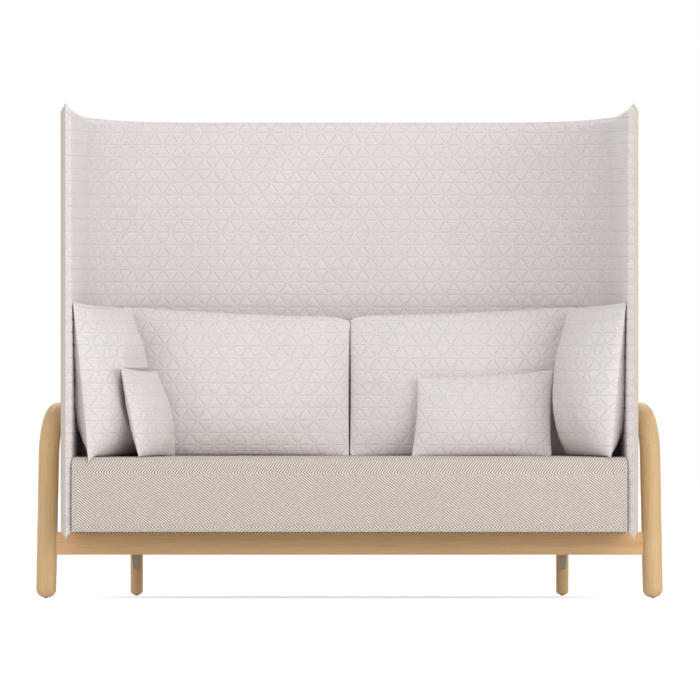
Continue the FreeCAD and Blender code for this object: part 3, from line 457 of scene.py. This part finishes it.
def pocket_height(across, up):
    """How far a quilted pocket stands up at a place given in pockets. Stitches stop short of the nodes."""
    slanted = POCKET_WIDTH * POCKET_HEIGHT / math.hypot(POCKET_WIDTH / 2, POCKET_HEIGHT)
    sink = 0.0
    for line, along, size in ((up, across, POCKET_HEIGHT), (across, up, slanted), (across + up, up, slanted)):
        gap = np.abs(line - np.round(line)) * size
        from_node = np.abs(along - np.round(along)) * POCKET_WIDTH
        stitched = 0.35 + 0.65 * np.clip(from_node / STITCH_GAP, 0.0, 1.0)
        sink = np.maximum(sink, np.exp(-gap / GROOVE) * stitched)
    return 1.0 - sink


def quilt_sheet(name, left, right, bottom, top, first_node, line_pitch, cuts):
    """A flat quilted sheet in X and Z: two triangles to a pocket row's cell, each cut into smaller ones."""
    node_x, node_z = first_node
    low_row = math.floor((bottom - node_z) / line_pitch)
    high_row = math.ceil((top - node_z) / line_pitch)
    low_cell = math.floor((left - node_x) / POCKET_WIDTH - high_row / 2) - 1
    high_cell = math.ceil((right - node_x) / POCKET_WIDTH - low_row / 2) + 1
    cells, rows = high_cell - low_cell, high_row - low_row
    bpy.ops.object.select_all(action="DESELECT")
    bpy.ops.mesh.primitive_grid_add(x_subdivisions=cells, y_subdivisions=rows, size=1)
    sheet = bpy.context.object
    sheet.name = sheet.data.name = name
    grid = points_of(sheet)
    across = np.round(low_cell + (grid[:, 0] + 0.5) * cells)
    up = np.round(low_row + (grid[:, 1] + 0.5) * rows)
    flat = np.stack([node_x + (across + up / 2) * POCKET_WIDTH, 0 * up, node_z + up * line_pitch], axis=1)
    place_points(sheet, flat)
    bpy.ops.object.mode_set(mode="EDIT")
    bpy.ops.mesh.select_all(action="SELECT")
    bpy.ops.mesh.quads_convert_to_tris(quad_method="FIXED")
    bpy.ops.object.mode_set(mode="OBJECT")
    # No stitch line is wider than a pocket. If one is, the cells are cut again along their other diagonal
    any_angle, widest_allowed = 3.1, 1.2 * POCKET_WIDTH
    points = points_of(sheet)
    ends = np.array([edge.vertices[:] for edge in sheet.data.edges])
    if np.abs(points[ends[:, 0], 0] - points[ends[:, 1], 0]).max() > widest_allowed:
        bpy.ops.object.mode_set(mode="EDIT")
        bpy.ops.mesh.select_all(action="SELECT")
        bpy.ops.mesh.tris_convert_to_quads(face_threshold=any_angle, shape_threshold=any_angle)
        bpy.ops.mesh.quads_convert_to_tris(quad_method="FIXED_ALTERNATE")
        bpy.ops.object.mode_set(mode="OBJECT")
    bpy.ops.object.mode_set(mode="EDIT")
    for x, direction in ((left - POCKET_WIDTH, -1), (right + POCKET_WIDTH, 1)):
        cut_with_plane((x, 0, 0), (direction, 0, 0), True)
    bpy.ops.mesh.select_all(action="SELECT")
    bpy.ops.mesh.subdivide(number_cuts=cuts)
    bpy.ops.object.mode_set(mode="OBJECT")
    return sheet


def map_pockets(sheet, first_node, line_pitch):
    """Give a flat sheet its map, which counts pockets from the first node."""
    flat = points_of(sheet)
    up = (flat[:, 2] - first_node[1]) / line_pitch
    across = (flat[:, 0] - first_node[0]) / POCKET_WIDTH - up / 2
    corners = np.empty(len(sheet.data.loops), np.int32)
    sheet.data.loops.foreach_get("vertex_index", corners)
    layer = sheet.data.uv_layers.new(name="pockets")
    layer.data.foreach_set("uv", np.stack([across, up], axis=1)[corners].astype(np.float32).ravel())
    return across, up


def rim_height(depth, at_top):
    return SHELL_TOP - RIM_SLOPE * depth if at_top else shell_bottom + RIM_SLOPE * depth


def shape_shell_face(piece, inset, puff):
    """Bend a flat sheet round the shell, trim it at the rims and draw its edges to the seam in the middle."""
    flat = points_of(piece)
    x, depth = face_point(flat[:, 0], inset)[:2]
    place_points(piece, np.stack([x, front_y + depth, flat[:, 2]], axis=1))
    take(piece)
    bpy.ops.object.mode_set(mode="EDIT")
    slope = math.atan(RIM_SLOPE)
    for share in BEVEL_CUTS:
        step = RIM_BEVEL * share
        rise = step / math.cos(slope)
        clear = step == 0.0
        cut_with_plane((0, front_y, SHELL_TOP - rise), (0, RIM_SLOPE, 1), clear)
        cut_with_plane((0, front_y, shell_bottom + rise), (0, RIM_SLOPE, -1), clear)
        cut_with_plane((0, front_y + step * math.cos(WING_SPLAY), 0), (0, -1, 0), clear)
    bpy.ops.object.mode_set(mode="OBJECT")
    bent = points_of(piece)
    depth = bent[:, 1] - front_y
    run = run_of(bent[:, 0], depth, inset)
    base_x, base_depth, out_x, out_y = face_point(run, inset)
    z = bent[:, 2]
    from_top = (rim_height(base_depth, True) - z) * math.cos(slope)
    from_bottom = (z - rim_height(base_depth, False)) * math.cos(slope)
    from_front = base_depth / math.cos(WING_SPLAY)
    nearest = np.minimum(np.minimum(from_top, from_bottom), from_front)
    to_seam = np.clip(1.0 - nearest / RIM_BEVEL, 0.0, 1.0) ** BEVEL_CURVE * SHELL_THICKNESS / 2
    half = SHELL_THICKNESS / 2
    direction = 1.0 if inset > half else -1.0
    up = (z - LEVEL_LINE) / POCKET_HEIGHT
    across = (run - NODE_OFFSET) / POCKET_WIDTH - up / 2
    swell = pocket_height(across, up) * puff * np.clip(nearest / PUFF_FADE, 0.0, 1.0) if puff else 0.0
    out = direction * to_seam - direction * swell
    new_x = base_x + out_x * out
    new_depth = base_depth + out_y * out
    # The seam stays in the planes of the rims and of the front
    hold_front = np.clip(1.0 - from_front / RIM_BEVEL, 0.0, 1.0)
    slide = hold_front * out * out_y
    new_depth = new_depth - slide
    new_x = new_x + np.sign(base_x) * slide * math.tan(WING_SPLAY)
    near_top = from_top < from_bottom
    z = z + np.where(near_top, -1.0, 1.0) * RIM_SLOPE * (out_y * out - slide)
    # The two front corners are drawn out into small tips
    tip = np.clip(1.0 - from_front / TIP_REACH, 0.0, 1.0) ** 2
    rim_share = np.clip(1.0 - np.minimum(from_top, from_bottom) / TIP_HEIGHT, 0.0, 1.0)
    z = z + np.where(near_top, 1.0, -1.0) * TIP_LENGTH * tip * rim_share
    place_points(piece, np.stack([new_x, front_y + new_depth, z], axis=1))


def thicken(piece, thickness):
    take(piece)
    skin = piece.modifiers.new("cloth_thickness", "SOLIDIFY")
    skin.thickness = thickness
    skin.offset = -1.0
    skin.use_even_offset = False
    apply_all(piece)


def face_outward(piece, towards):
    """Turn the faces over if they point away from the given side of the piece."""
    total = Vector((0, 0, 0))
    for polygon in piece.data.polygons:
        total += polygon.normal * polygon.area
    if total.dot(towards) < 0:
        take(piece)
        bpy.ops.object.mode_set(mode="EDIT")
        bpy.ops.mesh.select_all(action="SELECT")
        bpy.ops.mesh.flip_normals()
        bpy.ops.object.mode_set(mode="OBJECT")


def make_shell():
    before_front = np.array([-SPARE_CLOTH])
    low, high = shell_bottom - SPARE_CLOTH, SHELL_TOP + SPARE_CLOTH
    inner_run = float(run_of(np.array([SHELL_WIDTH / 2]), before_front, SHELL_THICKNESS)[0])
    node = (NODE_OFFSET, LEVEL_LINE)
    lining = quilt_sheet("shell_lining", -inner_run, inner_run, low, high, node, POCKET_HEIGHT, LINING_CUTS)
    map_pockets(lining, node, POCKET_HEIGHT)
    shape_shell_face(lining, SHELL_THICKNESS, SHELL_PUFF)
    face_outward(lining, Vector((0, -1, 0)))
    thicken(lining, LINING_CLOTH)
    take(lining)
    bpy.ops.object.shade_smooth_by_angle(angle=math.radians(50))
    finish_piece(lining, QUILTED, "shell_inner_pad")
    outer_run = float(run_of(np.array([SHELL_WIDTH / 2 + 3 * SPARE_CLOTH]), before_front, 0.0)[0])
    bpy.ops.object.select_all(action="DESELECT")
    bpy.ops.mesh.primitive_grid_add(x_subdivisions=OUTER_COLUMNS, y_subdivisions=OUTER_ROWS, size=1)
    cover = bpy.context.object
    cover.name = cover.data.name = "shell_outer_cloth"
    grid = points_of(cover)
    z = low + (grid[:, 1] + 0.5) * (high - low)
    place_points(cover, np.stack([grid[:, 0] * 2 * outer_run, 0 * z, z], axis=1))
    shape_shell_face(cover, 0.0, 0.0)
    face_outward(cover, Vector((0, 1, 0)))
    thicken(cover, OUTER_CLOTH)
    take(cover)
    bpy.ops.object.shade_smooth_by_angle(angle=math.radians(40))
    finish_piece(cover, PLAIN, "shell_outer_cover")


make_shell()


# Pillows

def room_between_wings(depth):
    """Half the room between the wings at a depth, just clear of the shell's lining."""
    inset = SHELL_THICKNESS + LINING_GAP + SHELL_PUFF
    radius = outer_radius - inset
    depth = np.clip(depth, 0.0, arc_depth + radius)
    tangent_depth = arc_depth + radius * math.sin(WING_SPLAY)
    tangent_x = arc_offset + radius * math.cos(WING_SPLAY)
    on_wing = tangent_x + (tangent_depth - depth) * math.tan(WING_SPLAY)
    reach = np.sqrt(np.maximum(radius ** 2 - np.maximum(depth - arc_depth, 0.0) ** 2, 0.0))
    return np.where(depth < tangent_depth, on_wing, arc_offset + reach)


def unevenness(flat, across, up, seed):
    """A smooth unevenness over a flat sheet, about zero. The higher across and up are, the finer it is."""
    return np.array([surface_noise.noise(Vector((x * across, z * up, seed))) for x, z in flat[:, (0, 2)]])


def front_normal(foot, head):
    """The level direction in which a pillow's front faces."""
    wide = Vector((*(foot[1] - foot[0] + head[1] - head[0]), 0)).normalized()
    return np.array(wide.cross(Vector((0, 0, 1))))


def settled(v, drop):
    """How full a pillow is from its foot, at -1, to its top, at 1. Its filling has sunk a little."""
    belly = np.clip(v + drop * (1 - v * v), -1, 1)
    return 1 - belly * belly


def make_pillow(
        name, node, foot, head, tops, front_swell, back_swell, ears=(), phase=0.0, draw=0.005, rear_edge=0.95,
        pressed_by=None):
    """A knife edged pillow: a quilted front and back sewn together at the seam, filled and put in its place.

    foot and head are the places in X and depth of the lower and the upper corners, left one first as seen
    from the pillow's front, and tops the heights of the two upper corners. An ear is a corner that is pulled
    out: its side, its end, how far it reaches and where its point goes. The lower rear_edge is, the sooner
    the back swells behind the seam. pressed_by gives the foot, the head, the height and the back's swell of
    a pillow that stands against this one's front and presses it in.
    """
    foot, head = np.array(foot), np.array(head)
    rise = sum(tops) / 2 - SEAT_TOP
    lean = (head - foot).mean(0)
    slant = math.hypot(np.hypot(*lean), rise) / rise
    half_x = np.hypot(*(foot[1] - foot[0] + head[1] - head[0])) / 4
    pitch = POCKET_HEIGHT * slant
    first_node = (NODE_OFFSET + phase, (LEVEL_LINE - SEAT_TOP) * slant)
    tallest = max(tops) - SEAT_TOP
    sheet = quilt_sheet(name, -half_x, half_x, 0.0, tallest * slant, first_node, pitch, PILLOW_CUTS)
    bpy.ops.object.mode_set(mode="EDIT")
    slope = (tops[0] - tops[1]) * slant / (2 * half_x)
    cut_with_plane((-half_x, 0, 0), (-1, 0, 0), True)
    cut_with_plane((half_x, 0, 0), (1, 0, 0), True)
    cut_with_plane((0, 0, 0), (0, 0, -1), True)
    cut_with_plane((0, 0, rise * slant), (slope, 0, 1), True)
    bpy.ops.object.mode_set(mode="OBJECT")
    # Points that all but touch the outline are put on it, so that the two faces meet along the whole seam
    flat = points_of(sheet)
    flat[:, 0] = np.where(np.abs(flat[:, 0]) > half_x - SLIVER, np.sign(flat[:, 0]) * half_x, flat[:, 0])
    top = rise * slant - slope * flat[:, 0]
    flat[:, 2] = np.where(flat[:, 2] < SLIVER, 0.0, np.where(flat[:, 2] > top - SLIVER, top, flat[:, 2]))
    place_points(sheet, flat)
    bpy.ops.object.mode_set(mode="EDIT")
    bpy.ops.mesh.select_all(action="SELECT")
    bpy.ops.mesh.remove_doubles(threshold=0.0006)
    bpy.ops.mesh.dissolve_degenerate(threshold=0.0001)
    bpy.ops.object.mode_set(mode="OBJECT")
    across, up = map_pockets(sheet, first_node, pitch)
    flat = points_of(sheet)
    u = np.clip(flat[:, 0] / half_x, -1, 1)
    top = rise * slant - slope * flat[:, 0]
    v = np.clip(2 * flat[:, 2] / top - 1, -1, 1)
    # The sides are drawn in between the corners, and the upper and lower edges sag a little
    u_in = u * (1 - draw / half_x * (1 - v * v))
    height = flat[:, 2] / slant * (1 - FOOT_SAG / rise * (1 - u * u))
    swell = (1 - u * u) ** SIDE_FULLNESS * settled(v, FRONT_SETTLED) ** FRONT_FULLNESS
    rear_swell = (1 - u * u) ** rear_edge * settled(v, REAR_SETTLED) ** REAR_FULLNESS
    waves = unevenness(flat, 9, 9, len(name))
    creases = unevenness(flat, 30, 22, 7 + len(name))
    relief = pocket_height(across, up) * PILLOW_PUFF * np.clip(swell * 4, 0, 1)
    relief += np.clip(swell * 2, 0, 1) * (waves * WAVE_DEPTH + creases * CREASE_DEPTH)
    share = ((u_in + 1) / 2)[:, None]
    lower = foot[0] + (foot[1] - foot[0]) * share
    upper = head[0] + (head[1] - head[0]) * share
    plan = lower + (upper - lower) * (height / rise)[:, None]
    middle = np.stack([plan[:, 0], front_y + plan[:, 1], SEAT_TOP + height], axis=1)
    for side, end, reach, point in ears:
        from_corner = np.hypot(flat[:, 0] - side * half_x, flat[:, 2] - (top if end > 0 else 0.0))
        middle += (np.clip(1 - from_corner / reach, 0, 1) ** 2)[:, None] * np.array(point)
    outward = front_normal(foot, head)
    front = middle + (front_swell * swell + relief)[:, None] * outward
    rear = middle - (back_swell * rear_swell + relief)[:, None] * outward
    if pressed_by is not None:
        near_foot, near_head, near_top, near_swell = pressed_by
        near_foot, near_head = np.array(near_foot), np.array(near_head)
        near_normal = front_normal(near_foot, near_head)
        climb = ((front[:, 2] - SEAT_TOP) / (near_top - SEAT_TOP))[:, None]
        near_middle = near_foot.mean(0) + (near_head - near_foot).mean(0) * climb + np.array([0.0, front_y])
        near_v = np.clip(2 * climb[:, 0] - 1, -1, 1)
        near_back = near_swell * settled(near_v, REAR_SETTLED) ** REAR_FULLNESS + PRESSED_GAP
        beyond = (front[:, :2] - near_middle) @ near_normal[:2] + near_back
        held = np.clip((near_top + PRESSED_ABOVE - front[:, 2]) / PRESSED_FADE, 0, 1)
        held = held * held * (3 - 2 * held)
        front -= (np.maximum(beyond, 0) * held)[:, None] * near_normal
    for face in (front, rear):
        # A full pillow lies flat where it is pressed against a wing
        limit = room_between_wings(face[:, 1] - front_y)
        face[:, 0] = np.clip(face[:, 0], -limit, limit)
        # Nor does it sink into the seat, whose front edge is round
        before_top = np.clip(seat_low.y + SEAT_FRONT_LEAN + SEAT_EDGE - face[:, 1], 0.0, SEAT_EDGE)
        rest = SEAT_TOP - SEAT_EDGE + np.sqrt(SEAT_EDGE ** 2 - before_top ** 2)
        over_seat = face[:, 1] > seat_low.y + SEAT_FRONT_LEAN
        face[:, 2] = np.where(over_seat, np.maximum(face[:, 2], rest), face[:, 2])
    back = sheet.copy()
    back.data = sheet.data.copy()
    bpy.context.collection.objects.link(back)
    place_points(sheet, front)
    place_points(back, rear)
    face_outward(sheet, Vector(outward))
    face_outward(back, -Vector(outward))
    take(sheet)
    back.select_set(True)
    bpy.ops.object.join()
    bpy.ops.object.mode_set(mode="EDIT")
    bpy.ops.mesh.select_all(action="SELECT")
    bpy.ops.mesh.remove_doubles(threshold=0.0003)
    bpy.ops.object.mode_set(mode="OBJECT")
    take(sheet)
    bpy.ops.object.shade_smooth_by_angle(angle=math.radians(40))
    finish_piece(sheet, QUILTED, node)


# Left ones first. A drooping ear hangs over the seat's front edge, and the back pillows' inner ears sag
small_foot, small_head = ((-0.586, 0.018), (-0.488, 0.385)), ((-0.635, 0.031), (-0.540, 0.398))
make_pillow(
    "left_back_cushion", "left_back_pillow",
    ((-0.643, 0.423), (-0.0015, 0.423)), ((-0.643, 0.523), (0.0, 0.523)), (0.8127, 0.7835), 0.080, 0.066,
    ears=((1, 1, 0.065, (0.003, -0.002, -0.013)),), draw=0.0015)
make_pillow(
    "right_back_cushion", "right_back_pillow",
    ((0.0015, 0.423), (0.643, 0.423)), ((0.0035, 0.523), (0.643, 0.523)), (0.7870, 0.8127), 0.080, 0.066,
    ears=((-1, 1, 0.075, (0.001, 0.004, -0.008)),), phase=0.019, draw=0.0015)
make_pillow(
    "left_side_cushion", "left_side_pillow",
    ((-0.726, 0.004), (-0.569, 0.396)), ((-0.769, 0.022), (-0.612, 0.426)), (0.8250, 0.8110), 0.100, 0.100,
    ears=((-1, -1, 0.055, (0.0, -0.009, -0.020)),), phase=0.011,
    pressed_by=(small_foot, small_head, 0.6400, 0.028))
make_pillow(
    "right_side_cushion", "right_side_pillow",
    ((0.604, 0.407), (0.727, 0.004)), ((0.612, 0.432), (0.769, 0.022)), (0.8110, 0.8250), 0.094, 0.100,
    ears=((1, -1, 0.045, (0.0, -0.004, -0.007)),), phase=0.004)
make_pillow(
    "left_small_cushion", "left_small_pillow",
    small_foot, small_head, (0.6445, 0.6310), 0.050, 0.028,
    ears=((-1, -1, 0.03, (0.0, -0.001, -0.002)),), phase=0.027, rear_edge=0.55)
make_pillow(
    "right_small_cushion", "right_small_pillow",
    ((0.174, 0.290), (0.565, 0.290)), ((0.192, 0.378), (0.569, 0.386)), (0.6130, 0.6343), 0.052, 0.014,
    phase=0.033)


# Seat

def seat_profile():
    """Places round the side view of the seat, from the front's lower edge over the top and underneath."""
    front, bottom = seat_low.y, seat_low.z
    top = seat_high.z - SEAT_CROWN
    back = seat_high.y - SEAT_FROM_LINING
    radius, lean, hem = SEAT_EDGE, SEAT_FRONT_LEAN, SEAT_HEM
    points = []
    for share in np.linspace(0, 1, 9):
        points.append((front + lean * (1 - math.sin(share * math.pi / 2)), bottom + hem * share))
    for share in np.linspace(0.05, 1, 40):
        height = bottom + hem + (top - radius - bottom - hem) * share
        points.append((front + lean * share ** 2, height))
    start = front + lean + radius
    for share in np.linspace(0.08, 1, 14):
        angle = share * math.pi / 2
        turn = radius * (1 - math.cos(angle))
        points.append((front + lean + turn, top - radius + radius * math.sin(angle)))
    for share in np.linspace(0.02, 1, 44):
        crown = SEAT_CROWN * (1 - (2 * share - 1) ** 2)
        points.append((start + (back - start) * share, top + crown))
    for share in np.linspace(0.1, 1, 8):
        points.append((back, top + (bottom - top) * share))
    for share in np.linspace(0.05, 0.95, 14):
        points.append((back + (front + lean - back) * share, bottom))
    return np.array(points)


def make_seat():
    profile = seat_profile()
    count = len(profile)
    bpy.ops.object.select_all(action="DESELECT")
    bpy.ops.mesh.primitive_grid_add(x_subdivisions=SEAT_COLUMNS, y_subdivisions=count, size=1)
    seat = bpy.context.object
    seat.name = seat.data.name = "seat_cushion_cover"
    grid = points_of(seat)
    across = grid[:, 0] * 2
    ring = np.round((grid[:, 1] + 0.5) * count).astype(int) % count
    y = profile[ring, 0]
    z = profile[ring, 1]
    x = across * room_between_wings(y - front_y)
    top = seat_high.z - SEAT_CROWN
    on_front = (y < front_y + BORDER_DEPTH) & (z < top - BORDER_DROP)
    # One pulled seam runs below the top's edge and another just above the lower edge
    seams = ((top - TOP_SEAM_DROP, TOP_SEAM_SINK), (seat_low.z + HEM_SEAM_RISE, HEM_SEAM_SINK))
    for seam_height, sink in seams:
        y = y + np.where(on_front, sink * np.exp(-np.abs(z - seam_height) / SEAM_WIDTH), 0.0)
    place_points(seat, np.stack([x, y, z], axis=1))
    take(seat)
    bpy.ops.object.mode_set(mode="EDIT")
    bpy.ops.mesh.select_all(action="SELECT")
    bpy.ops.mesh.remove_doubles(threshold=0.00002)
    bpy.ops.mesh.select_all(action="DESELECT")
    bpy.ops.mesh.select_non_manifold()
    bpy.ops.mesh.fill_holes(sides=0)
    bpy.ops.mesh.select_all(action="SELECT")
    bpy.ops.mesh.normals_make_consistent(inside=False)
    bpy.ops.object.mode_set(mode="OBJECT")
    layer = seat.data.uv_layers.new(name="threads")
    corners = np.empty(len(seat.data.loops), np.int32)
    seat.data.loops.foreach_get("vertex_index", corners)
    places = points_of(seat)
    uv = np.zeros((len(corners), 2), np.float32)
    wide = room_between_wings(np.array([0.0]))[0]
    for polygon in seat.data.polygons:
        centre = polygon.center
        before_border = centre.y < front_y + BORDER_DEPTH
        on_border = before_border and centre.z < top - TOP_SEAM_DROP
        end_strip = abs(centre.x) > wide - END_STRIP
        hem = centre.z < seat_low.z + HEM_SEAM_RISE
        for corner in polygon.loop_indices:
            point = places[corners[corner]]
            if centre.y < front_y + TURN_DEPTH:
                down_front = point[2] - top
            else:
                down_front = (point[1] - front_y - TURN_DEPTH) + BORDER_DROP
            if on_border and not (end_strip or hem):
                uv[corner] = (point[0], down_front)
            elif on_border:
                uv[corner] = (-point[0], down_front)
            elif before_border and centre.z < top - BORDER_DROP:
                uv[corner] = (-point[0] * TOP_TWILL_ACROSS, down_front * TOP_TWILL_ALONG)
            else:
                along = (point[1] - front_y) * TOP_TWILL_ALONG + (point[2] - top) * TOP_TWILL_ALONG
                uv[corner] = (-point[0] * TOP_TWILL_ACROSS, along)
    layer.data.foreach_set("uv", uv.ravel())
    bpy.ops.object.shade_smooth_by_angle(angle=math.radians(50))
    finish_piece(seat, TWILL, "seat_cover")


make_seat()


# Studio

def area_lamp(name, place, aim, size, power):
    lamp_data = bpy.data.lights.new(name, "AREA")
    lamp_data.shape = "RECTANGLE"
    lamp_data.size, lamp_data.size_y = size
    lamp_data.energy = power
    lamp = bpy.data.objects.new(name, lamp_data)
    bpy.context.scene.collection.objects.link(lamp)
    lamp.location = place
    lamp.rotation_euler = (Vector(aim) - Vector(place)).to_track_quat("-Z", "Y").to_euler()


area_lamp("key_lamp", (3.4, -6.0, 1.9), (0, 0, 0.7), (4.0, 2.4), 110)
area_lamp("side_lamp", (6.0, -3.2, 1.8), (0, 0, 0.8), (2.4, 2.4), 37)
area_lamp("fill_lamp", (-3.0, -6.2, 1.5), (0, 0, 0.7), (3.0, 2.0), 47)
area_lamp("top_lamp", (0.0, -2.6, 4.4), (0, 0, 0.6), (3.0, 2.0), 34)
area_lamp("back_lamp", (0.0, 4.0, 3.4), (0, 0, 0.7), (3.0, 2.0), 55)

world = bpy.data.worlds.new("studio")
bpy.context.scene.world = world
world.use_nodes = True
tree = world.node_tree
tree.nodes.clear()
output = tree.nodes.new("ShaderNodeOutputWorld")
ambient = tree.nodes.new("ShaderNodeBackground")
ambient.inputs["Color"].default_value = (1.0, 1.0, 1.0, 1)
ambient.inputs["Strength"].default_value = 0.69
white = tree.nodes.new("ShaderNodeBackground")
white.inputs["Color"].default_value = (1, 1, 1, 1)
white.inputs["Strength"].default_value = 1.0
rays = tree.nodes.new("ShaderNodeLightPath")


def shown_white(rays_node, node_tree):
    first = calc(node_tree, "MAXIMUM", rays_node.outputs["Is Camera Ray"], rays_node.outputs["Is Glossy Ray"])
    return calc(node_tree, "MAXIMUM", first, rays_node.outputs["Is Transmission Ray"])


choose = tree.nodes.new("ShaderNodeMixShader")
tree.links.new(shown_white(rays, tree), choose.inputs[0])
tree.links.new(ambient.outputs[0], choose.inputs[1])
tree.links.new(white.outputs[0], choose.inputs[2])
tree.links.new(choose.outputs[0], output.inputs["Surface"])

bpy.ops.object.select_all(action="DESELECT")
bpy.ops.mesh.primitive_plane_add(size=60, location=(0, 0, 0))
floor = bpy.context.object
floor.name = "studio_floor"
floor_material, floor_tree, floor_shader = new_material("pale_floor", (0.93, 0.93, 0.93), 0.9)
floor_glow = floor_tree.nodes.new("ShaderNodeEmission")
floor_glow.inputs["Strength"].default_value = 0.5
floor_sum = floor_tree.nodes.new("ShaderNodeAddShader")
floor_choice = floor_tree.nodes.new("ShaderNodeMixShader")
floor_rays = floor_tree.nodes.new("ShaderNodeLightPath")
floor_output = floor_tree.nodes["Material Output"]
floor_tree.links.new(floor_shader.outputs[0], floor_sum.inputs[0])
floor_tree.links.new(floor_glow.outputs[0], floor_sum.inputs[1])
floor_tree.links.new(shown_white(floor_rays, floor_tree), floor_choice.inputs[0])
floor_tree.links.new(floor_shader.outputs[0], floor_choice.inputs[1])
floor_tree.links.new(floor_sum.outputs[0], floor_choice.inputs[2])
floor_tree.links.new(floor_choice.outputs[0], floor_output.inputs["Surface"])
floor.data.materials.append(floor_material)

# The photo is taken from so far off that its frame is 1.946 m wide at the settee's front
CAMERA_DISTANCE = 52.0
CAMERA_X, CAMERA_HEIGHT, AIM_HEIGHT = 0.0014, 0.789, 0.692
FRAME_WIDTH = 1.946
SENSOR_WIDTH = 36.0
camera_data = bpy.data.cameras.new("photo_camera")
camera = bpy.data.objects.new("photo_camera", camera_data)
bpy.context.scene.collection.objects.link(camera)
camera.location = (CAMERA_X, front_y - CAMERA_DISTANCE, CAMERA_HEIGHT)
aim_point = Vector((CAMERA_X, front_y, AIM_HEIGHT))
camera.rotation_euler = (aim_point - camera.location).to_track_quat("-Z", "Y").to_euler()
camera_data.sensor_width = SENSOR_WIDTH
camera_data.lens = SENSOR_WIDTH * CAMERA_DISTANCE / FRAME_WIDTH
camera_data.clip_end = 200.0
bpy.context.scene.camera = camera
bpy.context.scene.view_settings.view_transform = "Standard"
